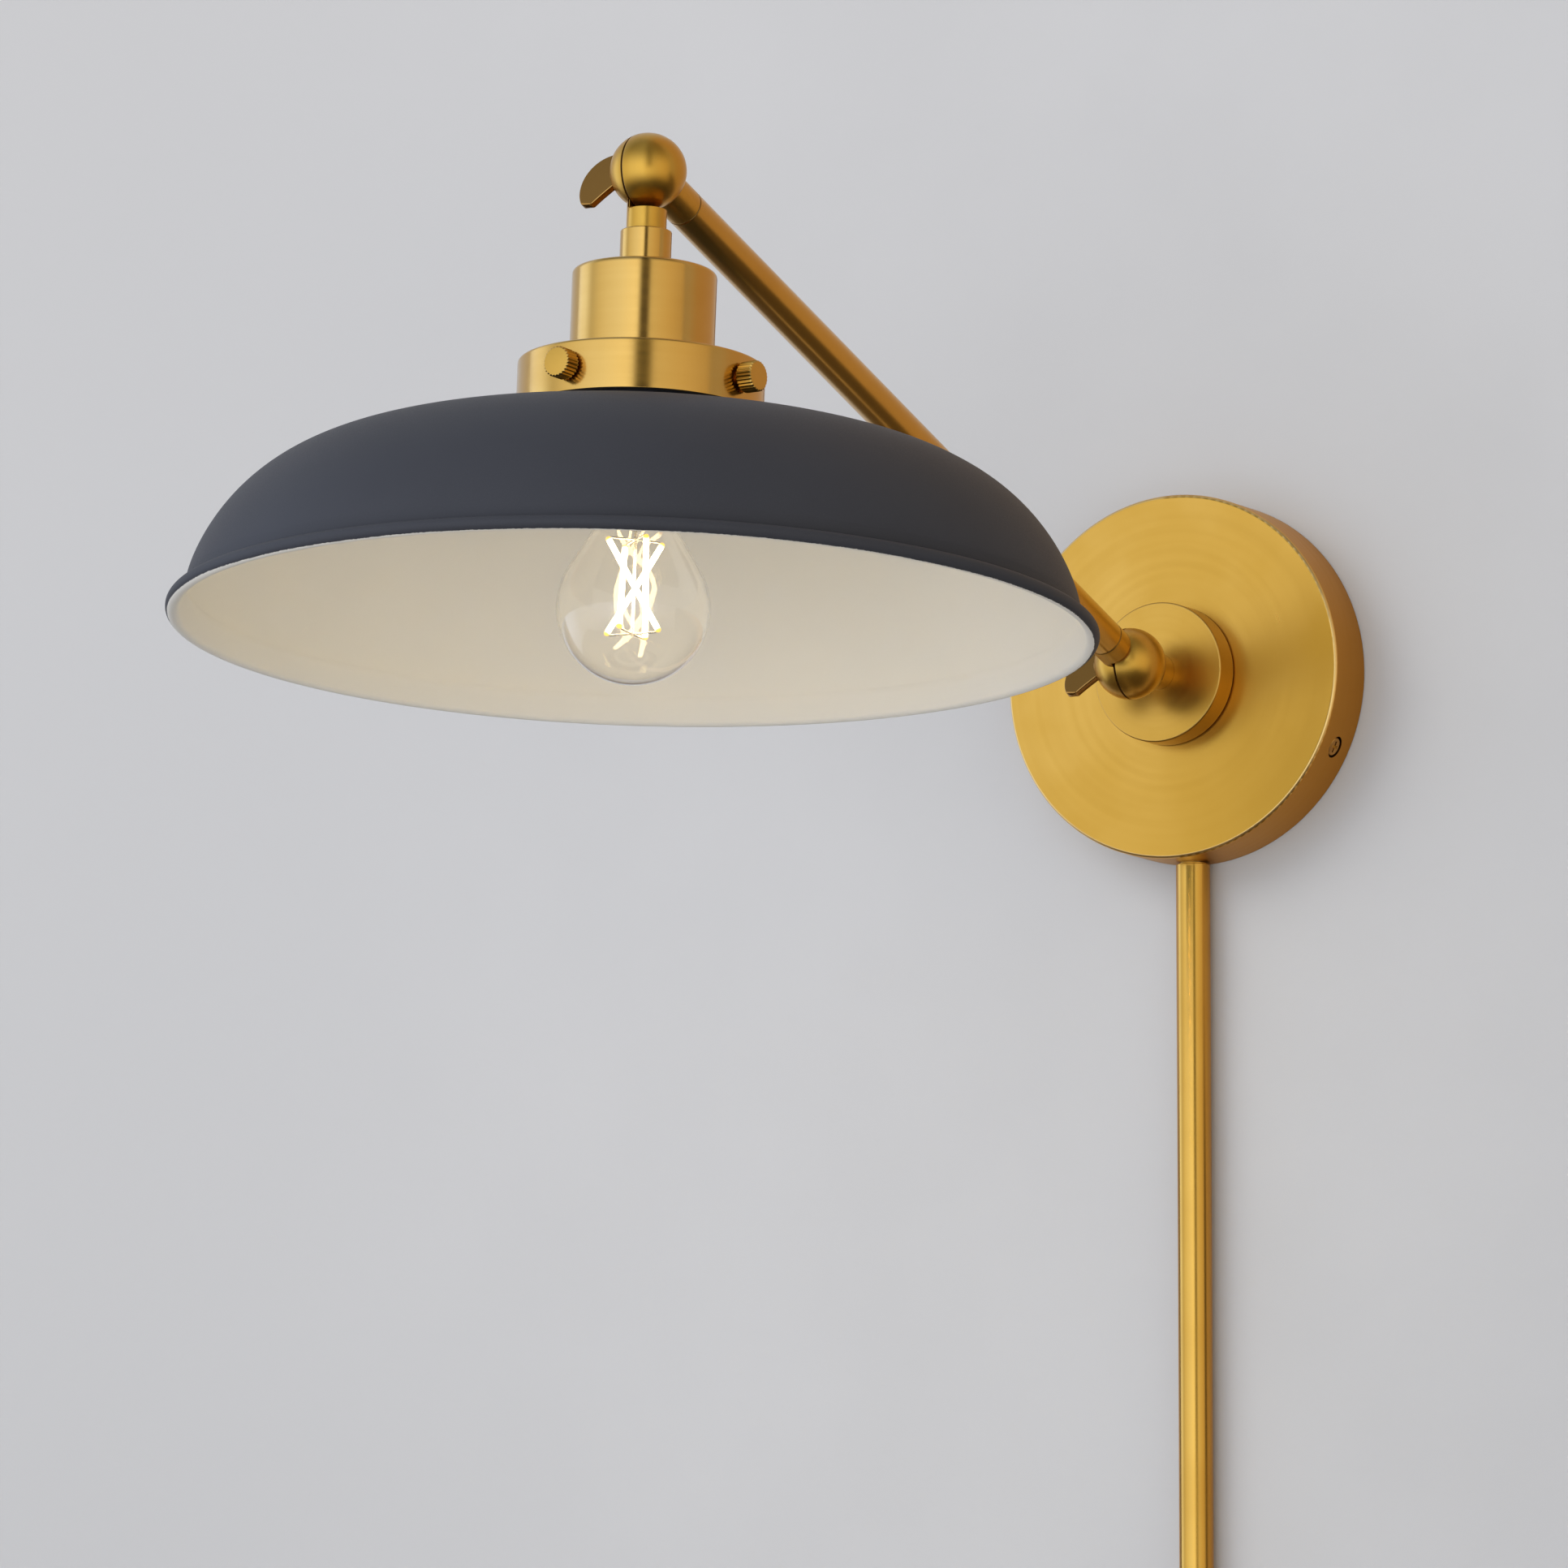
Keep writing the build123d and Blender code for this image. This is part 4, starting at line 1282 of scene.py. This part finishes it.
@dataclass(frozen=True)
class SwingArm:
    """Arm tube with the knuckle at each of its ends."""

    tube_bore: float = 6.5
    tube_columns: int = 128
    lower_stem: float = 24.3
    upper_stem: float = 28.8
    neck_end: float = 24.86
    # darker colour along the seams of the balls and the arm's ends
    seam_dark_tone: Triple = (0.12, 0.06, 0.015)
    seam_dark_share: float = 0.85
    key_gold: Triple = (0.36, 0.19, 0.04)
    key_deep: Triple = (0.28, 0.14, 0.025)
    lower_seam: float = 0.0
    upper_seam: float = -3.8
    lower_key_angle: float = 25.0
    upper_key_angle: float = 21.0

    def tube(self) -> None:
        """Arm tube, flush with the stems and chamfered where it meets them."""
        brass = SatinBrass("arm_brass", STANCE.arm(), BrushLay.ALONG, self.seam_dark_tone, self.seam_dark_share, rough=0.2)
        ends = (self.lower_stem, STANCE.arm_length - self.upper_stem)
        tube = sleeve(self.tube_bore, Knuckle.stem_radius, ends, Knuckle.seam_chamfer, self.tube_columns)
        Skin("swing_arm").add(tube, STANCE.arm()).piece(Body.ARM, ["arm_tube"], Slot.BRASS, brass.material())

    def ball_brass(self, name: str, centre: Triple) -> Material:
        """Brass of one ball, darker along its seam."""
        look = {"edge_tone": self.seam_dark_tone, "edge_share": self.seam_dark_share, "rough": 0.27, "lacquer": 0.05}
        return SatinBrass(name, STANCE.ball(centre), **look).material()

    def wing_key(self, knuckle: Knuckle, body: Body, node: str) -> None:
        """Darker key of one knuckle, brushed along its lever.

        Args:
            knuckle: what it clamps.
            body: what it rides on.
            node: CAD node that it replaces.
        """
        axes = STANCE.key(knuckle.centre, knuckle.key_angle)
        look = {"gold": self.key_gold, "deep": self.key_deep}
        knuckle.key(body, node, SatinBrass(f"{knuckle.name}_key_brass", axes, BrushLay.STRAIGHT, **look).material())

    def build(self) -> None:
        """Build and dress the arm and both knuckles."""
        self.tube()
        lower_brass = self.ball_brass("lower_ball_brass", STANCE.lower_centre)
        upper_brass = self.ball_brass("upper_ball_brass", STANCE.upper_centre)
        lower = Knuckle("lower_knuckle", STANCE.lower_centre, self.lower_seam, self.lower_key_angle)
        upper = Knuckle("upper_knuckle", STANCE.upper_centre, self.upper_seam, self.upper_key_angle)
        thread, under = KnuckleSide.THREAD, KnuckleSide.KEY
        lower.half(thread, STANCE.neck(), self.neck_end, False, Body.HUB, "lower_knuckle_fixed", lower_brass)
        lower.half(under, STANCE.arm(), self.lower_stem, True, Body.ARM, "lower_knuckle_moving", lower_brass)
        upper.half(thread, STANCE.back(), self.upper_stem, True, Body.ARM, "upper_knuckle_fixed", upper_brass)
        upper.half(under, STANCE.head(), STANCE.collar_top, False, Body.HEAD, "upper_knuckle_moving", upper_brass)
        self.wing_key(lower, Body.LOWER_KEY, "lower_wing_key")
        self.wing_key(upper, Body.UPPER_KEY, "upper_wing_key")


@dataclass(frozen=True)
class LampHead:
    """Collar, cup, shade gallery and thumb screws."""

    gold: Triple = (0.6, 0.37, 0.088)
    collar_radius: float = 9.9
    collar_chamfer: float = 0.6
    collar_bore: float = 4.925
    collar_columns: int = 128
    cup_radius: float = 27.8
    cup_top: float = 40.1
    cup_wall: float = 1.5
    cup_round: float = 2.0
    cup_edge: float = 0.1
    cup_bore: float = 5.0
    cup_columns: int = 192
    gallery_radius: float = 47.4
    gallery_top: float = 76.8
    gallery_bottom: float = 96.5
    gallery_wall: float = 2.0
    gallery_round: float = 1.2
    gallery_edge: float = 0.3
    gallery_fillet: float = 0.4
    gallery_columns: int = 224
    holder_radius: float = 19.05
    thumb_height: float = 86.8
    thumb_first_angle: float = -6.0
    thumb_radius: float = 6.0
    thumb_length: float = 6.8
    thumb_chamfer: float = 0.7
    thumb_neck: float = 3.6
    thumb_neck_length: float = 1.0
    thumb_seat_gap: float = 0.1
    thumb_shank: float = 2.0
    thumb_tip: float = 0.4
    thumb_start: float = 41.4
    thumb_flutes: int = 26
    thumb_flute_depth: float = 0.45
    thumb_flute_columns: int = 8

    def collar(self, brass: Material) -> None:
        """Coupling between the upper knuckle and the cup.

        Args:
            brass: its finish.
        """
        ends, cut = (STANCE.collar_top, self.cup_top), self.collar_chamfer
        tube = sleeve(self.collar_bore, self.collar_radius, ends, cut, self.collar_columns)
        Skin("stem_coupling").add(tube, STANCE.head()).piece(Body.HEAD, ["stem_collar"], Slot.BRASS, brass)

    def cup(self, brass: Material) -> None:
        """Closed-top cup over the lampholder.

        Args:
            brass: its finish.
        """
        ends, wall = (self.cup_top, self.gallery_top), self.cup_wall
        cuts = (0, self.cup_round, self.cup_edge, 0, self.cup_round - wall, 0)
        shell = pan(self.cup_bore, self.cup_radius, wall, ends, cuts, self.cup_columns)
        Skin("holder_cup").add(shell, STANCE.head()).piece(Body.HEAD, ["socket_cup"], Slot.BRASS, brass)

    def gallery(self, brass: Material) -> None:
        """Shallow holder that the shade's neck sits in.

        Args:
            brass: its finish.
        """
        ends, edge = (self.gallery_top, self.gallery_bottom), self.gallery_edge
        cuts = (0, self.gallery_round, edge, edge, self.gallery_fillet, 0)
        shell = pan(self.holder_radius, self.gallery_radius, self.gallery_wall, ends, cuts, self.gallery_columns)
        Skin("fitter_gallery").add(shell, STANCE.head()).piece(Body.HEAD, ["shade_gallery"], Slot.BRASS, brass)

    def thumb_screw(self) -> Grid:
        """Knurled screw: a turned body whose radius loses depth (1 - cos(n u)) / 2 along the head's side.

        The loss fades out at the chamfers, so the end faces stay round.

        Returns:
            The shell on the screw's axes.
        """
        seat, foot = self.gallery_radius + self.thumb_neck_length, self.gallery_radius + self.thumb_seat_gap
        top, around = seat + self.thumb_length, self.thumb_flutes * self.thumb_flute_columns
        shank, neck, outer, cut = self.thumb_shank, self.thumb_neck, self.thumb_radius, self.thumb_chamfer
        corners = ((0, self.thumb_start), (shank, self.thumb_start), (shank, foot), (neck, foot), (neck, seat),
                   (outer, seat), (outer, top), (0, top))
        grid = spindle(corners, (0, self.thumb_tip, 0, 0, 0, cut, cut, 0), around)
        radius = np.linalg.norm(grid.points[..., :2], axis=-1, keepdims=True)
        waves = np.cos(self.thumb_flutes * columns_round(around))
        loss = self.thumb_flute_depth * (1 - waves)[None, :, None] / 2
        side = np.clip((radius - (outer - cut)) / (cut / 2), 0, 1)
        grid.points[..., :2] *= 1 - side * loss / np.maximum(radius, 1e-6)
        return grid

    def build(self) -> None:
        """Build and dress the head's brass pieces."""
        brass = SatinBrass("head_brass", STANCE.head(), gold=self.gold, rough=0.14).material()
        self.collar(brass)
        self.cup(brass)
        self.gallery(brass)
        for number, body in enumerate((Body.THUMB_1, Body.THUMB_2, Body.THUMB_3, Body.THUMB_4), 1):
            axes = STANCE.thumb(self.thumb_height, self.thumb_first_angle + 90 * (number - 1))
            finish = SatinBrass(f"thumb_brass_{number}", axes, rough=0.27).material()
            skin = Skin(f"knurled_screw_{number}").add(self.thumb_screw(), axes)
            skin.piece(body, [f"thumb_screw_{number}"], Slot.BRASS, finish)


@dataclass(frozen=True)
class DomeShade:
    """Spun dome with a straight fitter neck, a stepped rim, a rolled bead and a sloped inner lip.

    Args:
        paint_line: middle angle of the paint line on the bead, in degrees.
        paint_swing: how far it swings from side to side.
        paint_waves: size in degrees, count and start of its small waves.
        paint_fade: how far, in millimetres, the mark takes from outside to inside.
    """

    body_radius: float = 170.6
    rim_radius: float = 177.8
    crown: float = 108.2
    shoulder: float = 169.9
    radial_power: float = 5.1
    axial_power: float = 1.4
    wall: float = 1.0
    bead_radius: float = 2.75
    bead_centre: float = 178.1
    bead_ends: Pair = (105, -156)
    step_round: float = 0.9
    lip_height: float = 5.7
    neck_radius: float = 41.3
    neck_round: float = 5.0
    neck_top: float = 82.6
    lip: float = 1.8
    paint_line: float = -60.0
    paint_swing: float = -15.0
    paint_waves: tuple[Triple, ...] = ((3.0, 3, 0.7), (2.0, 8, 2.1), (1.5, 19, 4.0))
    paint_fade: float = 1.6
    dome_rows: int = 72
    flare_rows: int = 12
    bead_rows: int = 61
    columns: int = 320

    def dome(self, offset: float) -> Array:
        """Half outline of the dome from the neck's flare to the shoulder.

        It is a super-ellipse: radius R cos(t)^(2/p), height above the shoulder H sin(t)^(2/q).

        Args:
            offset: how far it is moved inwards.

        Returns:
            Rows of (radius, height).
        """
        radius, rise = self.body_radius - offset, self.shoulder - self.crown - offset
        first = np.arccos(((self.neck_radius + self.neck_round) / radius) ** (self.radial_power / 2))
        t = first * (1 - np.linspace(0, 1, self.dome_rows))
        across = radius * np.cos(t) ** (2 / self.radial_power)
        return np.stack((across, self.shoulder - rise * np.sin(t) ** (2 / self.axial_power)), -1)

    def flare(self, offset: float) -> Array:
        """Quarter arc from the neck's wall out to the dome: middle + r (-cos t, sin t).

        Args:
            offset: how far it is moved inwards.

        Returns:
            Rows of (radius, height).
        """
        t = np.linspace(0, pi / 2, self.flare_rows)
        middle = np.array((self.neck_radius + self.neck_round, self.crown - self.neck_round))
        return middle + (self.neck_round + offset) * np.stack((-np.cos(t), np.sin(t)), -1)

    def wander(self, u: Array) -> Array:
        """Angle of the paint line on the bead: a slow swing from side to side with small waves."""
        waves = sum(size * np.sin(count * u + start) for size, count, start in self.paint_waves)
        return np.radians(self.paint_line + self.paint_swing * np.cos(u) + waves)

    def build(self) -> None:
        """Build and dress the shade as one turned ring; the mark rises from 0 outside to 1 inside."""
        middle, bead_r, top = self.rim_radius - self.bead_radius, self.bead_radius, self.neck_top
        t = np.radians(np.linspace(*self.bead_ends, self.bead_rows))
        bead = np.stack((middle + bead_r * np.cos(t), self.bead_centre - bead_r * np.sin(t)), -1)
        edge, step = (self.body_radius, self.shoulder), (self.body_radius, self.bead_centre - bead_r)
        ledge, _ = soft_corner(edge, step, tuple(bead[0]), self.step_round)
        lip = np.array(((self.body_radius - self.wall, self.bead_centre - self.lip_height),))
        bore, brim = self.neck_radius - self.wall, self.neck_radius + self.lip
        throat = np.array(((bore, top), (brim, top), (brim, top + self.wall), (self.neck_radius, top + self.wall)))
        outside = np.concatenate((self.flare(0)[:-1], self.dome(0), ledge))
        inside = np.concatenate((lip, self.dome(self.wall)[::-1], self.flare(self.wall)[-2::-1]))
        profile = np.concatenate((outside, bead, inside, throat))
        grid = turned(profile, np.zeros(len(profile)), True, self.columns)
        line = self.wander(columns_round(self.columns))
        first, last = len(outside), len(outside) + len(bead)
        grid.mark[first:last] = np.clip((line - t[:, None]) * bead_r / self.paint_fade + 0.5, 0, 1)
        grid.mark[last:-len(throat)] = 1.0
        skin = Skin("dome_shade", "liner").add(grid, STANCE.head())
        skin.piece(Body.HEAD, ["shade"], Slot.SHADE, ShadePaint("slate_and_cream", STANCE.head()).material())


@dataclass(frozen=True)
class FilamentBulb:
    """Clear bulb with glowing sticks, and the lampholder that it screws into."""

    radius: float = 29.5
    centre: float = 171.6
    neck_radius: float = 11.85
    neck_start: float = 120.0
    neck_end: float = 126.0
    join: float = 28.0
    wall: float = 0.8
    flank_rows: int = 24
    bowl_rows: int = 48
    columns: int = 128
    stick_count: int = 4
    stick_radius: float = 1.1
    stick_length: float = 42.0
    stick_tip: float = 5.0
    stick_lean: float = 30.0
    stick_ring: float = 4.5
    stick_first_angle: float = 63.0
    stick_centre: float = 163.4
    stick_end_rows: int = 8
    stick_rows: int = 24
    stick_columns: int = 24

    def outline(self, offset: float) -> Array:
        """Half outline of the glass from the neck's start to the bottom.

        The flank is the cubic (2s^3 - 3s^2 + 1) P + (s^3 - 2s^2 + s) L u + (3s^2 - 2s^3) Q + (s^3 - s^2) L v
        between the neck P and the bowl Q, with L the distance between them; the bowl is a circle.

        Args:
            offset: how far it is moved inwards.

        Returns:
            Rows of (radius, height).
        """
        r, neck, join = self.radius - offset, self.neck_radius - offset, radians(self.join)
        low = np.array((neck, self.neck_end))
        side = np.array((r * cos(join), self.centre - r * sin(join)))
        reach = np.linalg.norm(side - low)
        s = np.linspace(0, 1, self.flank_rows)[:, None]
        flank = (2 * s**3 - 3 * s**2 + 1) * low + (s**3 - 2 * s**2 + s) * reach * np.array((0, 1))
        flank = flank + (3 * s**2 - 2 * s**3) * side + (s**3 - s**2) * reach * np.array((sin(join), cos(join)))
        t = np.linspace(-join, pi / 2, self.bowl_rows)[1:]
        bowl = np.stack((r * np.cos(t), self.centre + r * np.sin(t)), -1)
        bowl[-1, 0] = 0
        return np.concatenate((((neck, self.neck_start),), flank, bowl))

    def glass(self) -> None:
        """Thin clear bulb, outside and inside as one wall."""
        profile = np.concatenate((self.outline(self.wall)[::-1], self.outline(0)))
        skin = Skin("bulb_envelope").add(turned(profile, np.zeros(len(profile)), False, self.columns), STANCE.head())
        finish = ClearGlass("clear_bulb_glass", STANCE.head()).material()
        skin.piece(Body.HEAD, ["bulb_glass"], Slot.GLASS, finish)
        dress(finish, "bulb_mount")

    def stick(self) -> Grid:
        """One filament stick with round ends; its mark falls from 1 along the middle to 0 at the ends.

        Returns:
            The shell about the stick's own axis.
        """
        half, r = self.stick_length / 2, self.stick_radius
        t = np.linspace(pi / 2, 0, self.stick_end_rows)
        end = np.stack((r * np.cos(t), half - r + r * np.sin(t)), -1)
        height = np.linspace(half - r, r - half, self.stick_rows + 2)[1:-1]
        middle = np.stack((np.full(self.stick_rows, r), height), -1)
        profile = np.concatenate((end, middle, end[::-1] * (1, -1)))
        mark = np.clip((half - np.abs(profile[:, 1])) / self.stick_tip, 0, 1)
        return turned(profile, mark, False, self.stick_columns)

    def sticks(self) -> None:
        """Leaning sticks set round the glass mount."""
        head, skin, lean = STANCE.head(), Skin("glow_sticks", "glow"), radians(self.stick_lean)
        for index in range(self.stick_count):
            turn = radians(self.stick_first_angle + index * 360 / self.stick_count)
            out = (cos(turn), sin(turn), 0.0)
            way = (sin(lean) * sin(turn), -sin(lean) * cos(turn), cos(lean))
            middle = head.at((self.stick_ring * out[0], self.stick_ring * out[1], self.stick_centre))
            skin.add(self.stick(), Axes(middle, head.lean(out), head.lean(way)))
        skin.piece(Body.HEAD, ["bulb_filaments"], Slot.FILAMENT, GlowingStick("filament_glow", head).material())

    def build(self) -> None:
        """Build and dress the bulb and the lampholder."""
        self.glass()
        self.sticks()
        nickel = PlatedMetal("nickel_cap", (0.7, 0.68, 0.64), (0.5, 0.48, 0.44), 0.25).material()
        dress(nickel, "bulb_base", "bulb_contact", "lampholder_shell", "lampholder_contact", "bulb_lead_wires")
        dress(Moulded("cap_insulator", (0.02, 0.02, 0.025), 0.15, 0.5).material(), "bulb_insulator")
        dress(Moulded("glazed_lampholder", (0.8, 0.78, 0.72), 0.2, 0.4).material(), "lampholder_body")


@dataclass(frozen=True)
class Softbox:
    """One square soft lamp that lights matt faces and leaves no mirror image of itself.

    Args:
        name: its name.
        place: where it hangs, in metres.
        aim: what it points at.
        size: length of its side.
        power: its power in watts.
        colour: its colour.
    """

    name: str
    place: Triple
    aim: Triple
    size: float
    power: float
    colour: Triple

    def build(self) -> None:
        """Hang the lamp and turn it towards its aim."""
        lamp = bpy.data.lights.new(self.name, "AREA")
        lamp.size, lamp.energy, lamp.color = self.size, self.power, self.colour
        made = linked(self.name, lamp)
        made.location = self.place
        made.rotation_euler = (Vector(self.aim) - Vector(self.place)).to_track_quat("-Z", "Y").to_euler()
        made.visible_glossy = made.visible_camera = False


@dataclass(frozen=True)
class Studio:
    """Pale wall and floor, soft light, and a camera at the photograph's angle.

    The stage is in metres. Spans across the wall are in millimetres from the canopy's middle, spans of
    direction in degrees to the right of straight out from the wall, and spans of rise from -1 below to 1 above.

    Args:
        box_radius: radius, in millimetres, of the open wall box behind the canopy.
        wall_clouds: how much the mottling shows, and its shade.
        wall_left, wall_left_painted_shade: where painted shade makes the wall darker to the left, and by how much.
        room_brown, room_dark: what the brass mirrors in place of the wall, to the right and towards the floor.
        tube_sides, tube_below: strip along the cord cover tube that stays pale in the mirror image.
        room_round: room light by direction.
        stand_left, stand_right, stand_rise: edges of a dark stand near the camera.
    """

    wall_behind: float = 0.0006
    floor_height: float = -0.95
    reach: float = 4.0
    floor_reach: float = 1.6
    box_radius: float = 66.0
    box_fade: float = 1.0
    wall_colour: Triple = (0.592, 0.582, 0.562)
    wall_noise: Pair = (0.008, 4.0)
    wall_clouds: Pair = (1.0, 0.97)
    wall_left: Pair = (-560.0, -150.0)
    wall_left_painted_shade: float = 0.93
    wall_rough: float = 0.85
    room_brown: Triple = (0.58, 0.39, 0.23)
    brown_start: Pair = (-250.0, 150.0)
    brown_end: Pair = (500.0, 1500.0)
    brown_far: float = 0.4
    room_dark: Triple = (0.11, 0.075, 0.05)
    dark_below: Pair = (-220.0, -90.0)
    tube_sides: Pair = (30.0, 50.0)
    tube_below: Pair = (-150.0, -110.0)
    room_round: tuple[tuple[float, Triple], ...] = (
        (-180, (0.9, 0.9, 0.9)), (-102, (0.62, 0.7, 0.86)), (-90, (0.86, 0.98, 1.25)), (-76, (0.84, 0.96, 1.25)),
        (-62, (0.5, 0.52, 0.55)), (-45, (0.7, 0.72, 0.75)), (-27, (0.8, 0.85, 0.98)), (-8, (0.88, 0.95, 1.15)),
        (17, (1.04, 1.09, 1.22)), (26, (0.86, 0.86, 0.85)), (43, (0.68, 0.65, 0.6)), (70, (0.6, 0.52, 0.41)),
        (110, (0.4, 0.31, 0.21)), (180, (0.9, 0.9, 0.9)))
    room_strength: float = 1.6
    ceiling_rise: Pair = (0.25, 0.8)
    ceiling_least: float = 0.3
    floor_rise: Pair = (-0.25, -0.65)
    floor_tone: Triple = (0.1, 0.055, 0.02)
    stand_left: Pair = (21, 27)
    stand_right: Pair = (36, 43)
    stand_rise: Pair = (-0.02, 0.1)
    stand_tone: Triple = (0.06, 0.05, 0.04)
    backdrop: Triple = (0.62, 0.62, 0.63)
    softboxes: tuple[Softbox, ...] = (
        Softbox("key_softbox", (-2.3, -3.1, 2.2), (0, -0.3, 0), 2.8, 55.0, (1.0, 0.995, 0.985)),
        Softbox("low_softbox", (0.3, -1.9, -0.65), (0, -0.5, 0), 1.2, 2.2, (0.95, 0.98, 1.0)))
    camera_place: Triple = (2.14579, -4.24172, -0.73116)
    camera_azimuth: float = 28.923
    camera_pitch: float = 8.255
    camera_clip: float = 60.0
    lens: float = 264.78
    sensor: float = 36.0

    def paint(self, name: str) -> Material:
        """Faintly mottled pale paint, clear from behind and open at the wall box.

        Its mirror image in the brass turns brown towards the right and dark towards the floor, as the room does.

        Args:
            name: the material's name.

        Returns:
            The finished node material.
        """
        wire = Coating(name)
        spot = wire.local(STANCE.wall())
        across, height, _ = wire.apart(spot)
        tone = wire.mottle(wire.noise(spot, *self.wall_noise), self.wall_colour, *self.wall_clouds)
        # painted shade: the wall's colour darker towards the left
        left = shaded(self.wall_colour, self.wall_left_painted_shade)
        tone = wire.mix(wire.span(across, *self.wall_left, 1.0, 0.0), tone, left)
        brown = wire.math("MULTIPLY", wire.span(across, *self.brown_start, 0.0, 1.0),
                          wire.span(across, *self.brown_end, 1.0, self.brown_far))
        tube = wire.math("MULTIPLY", wire.span(wire.math("ABSOLUTE", across), *self.tube_sides, 1.0, 0.0),
                         wire.span(height, *self.tube_below, 1.0, 0.0))
        dark = wire.math("SUBTRACT", wire.span(height, *self.dark_below, 1.0, 0.0), tube)
        room = wire.mix(wire.math("MAXIMUM", dark, 0.0), wire.mix(brown, tone, self.room_brown), self.room_dark)
        wire.set(Base_Color=wire.mix(wire.ray(Ray.GLOSSY), tone, room), Roughness=self.wall_rough)
        box = wire.span(wire.radius(spot), self.box_radius, self.box_radius + self.box_fade, 1.0, 0.0)
        wire.clear(wire.math("MAXIMUM", wire.add("ShaderNodeNewGeometry").outputs["Backfacing"], box))
        return wire.material

    def sheet(self, name: str, corners: Sequence[Triple]) -> None:
        """One flat four-sided stage sheet.

        Args:
            name: its name.
            corners: its corners, anticlockwise from the side that shows.
        """
        mesh = bpy.data.meshes.new(name)
        mesh.from_pydata([tuple(c) for c in corners], [], [(0, 1, 2, 3)])
        made = linked(name, mesh)
        mesh.materials.append(self.paint(f"{name}_paint"))

    def world(self) -> None:
        """Room light that changes with direction: window side bright, a dark stand near the camera."""
        world = bpy.data.worlds.new("studio_room")
        bpy.context.scene.world = world
        world.use_nodes = True
        wire = Wiring(world.node_tree)
        right, inwards, rise = wire.apart(wire.add("ShaderNodeTexCoord").outputs["Generated"])
        turn = wire.math("ARCTAN2", right, wire.math("MULTIPLY", inwards, -1.0))
        around = wire.add("ShaderNodeValToRGB", {0: wire.math("ADD", wire.math("DIVIDE", turn, 2 * pi), 0.5)})
        stops = around.color_ramp.elements
        while len(stops) < len(self.room_round):
            stops.new(0.5)
        for stop, (azimuth, colour) in zip(stops, self.room_round):
            stop.position = azimuth / 360 + 0.5
            stop.color = (*colour, 1.0)
        left = wire.span(turn, *map(radians, self.stand_left), 0.0, 1.0)
        sides = wire.math("MULTIPLY", left, wire.span(turn, *map(radians, self.stand_right), 1.0, 0.0))
        stand = wire.math("MULTIPLY", sides, wire.span(rise, *self.stand_rise, 0.0, 1.0))
        tone = wire.mix(stand, around.outputs[0], self.stand_tone)
        tone = wire.mix(wire.span(rise, *self.floor_rise, 0.0, 1.0, Ramp.EVEN), tone, self.floor_tone)
        over = wire.span(rise, *self.ceiling_rise, 1.0, self.ceiling_least, Ramp.EVEN)
        strength = wire.math("MULTIPLY", over, self.room_strength)
        room = wire.add("ShaderNodeBackground", {"Color": tone, "Strength": strength}).outputs[0]
        plain = wire.add("ShaderNodeBackground", {"Color": (*self.backdrop, 1.0), "Strength": 1.0}).outputs[0]
        seen = wire.math("MAXIMUM", wire.ray(Ray.CAMERA), wire.ray(Ray.TRANSMISSION))
        both = wire.add("ShaderNodeMixShader", {0: seen, 1: room, 2: plain}).outputs[0]
        wire.feed(wire.add("ShaderNodeOutputWorld").inputs["Surface"], both)

    def camera(self) -> None:
        """Camera at the photograph's place, looking slightly up at the shade."""
        view = bpy.data.cameras.new("photo_camera")
        view.lens, view.sensor_width, view.clip_end = self.lens, self.sensor, self.camera_clip
        made = linked("photo_camera", view)
        made.location = self.camera_place
        made.rotation_euler = (radians(90 + self.camera_pitch), 0.0, radians(self.camera_azimuth))
        bpy.context.scene.camera = made

    def build(self) -> None:
        """Set the stage."""
        far, wide, floor, back = self.reach, self.floor_reach, self.floor_height, self.wall_behind
        self.sheet("studio_wall", ((-far, back, floor), (far, back, floor), (far, back, far), (-far, back, far)))
        front, rear = ((-wide, -wide, floor), (wide, -wide, floor)), ((wide, back, floor), (-wide, back, floor))
        self.sheet("studio_floor", front + rear)
        self.world()
        for softbox in self.softboxes:
            softbox.build()
        self.camera()
        bpy.context.scene.view_settings.view_transform = "Standard"


def main() -> None:
    logging.basicConfig(level=logging.INFO, format="%(message)s")
    for group in (WallMount(), SwingArm(), LampHead(), DomeShade(), FilamentBulb(), Studio()):
        LOG.info("building %s", type(group).__name__)
        group.build()


if __name__ == "__main__":
    main()
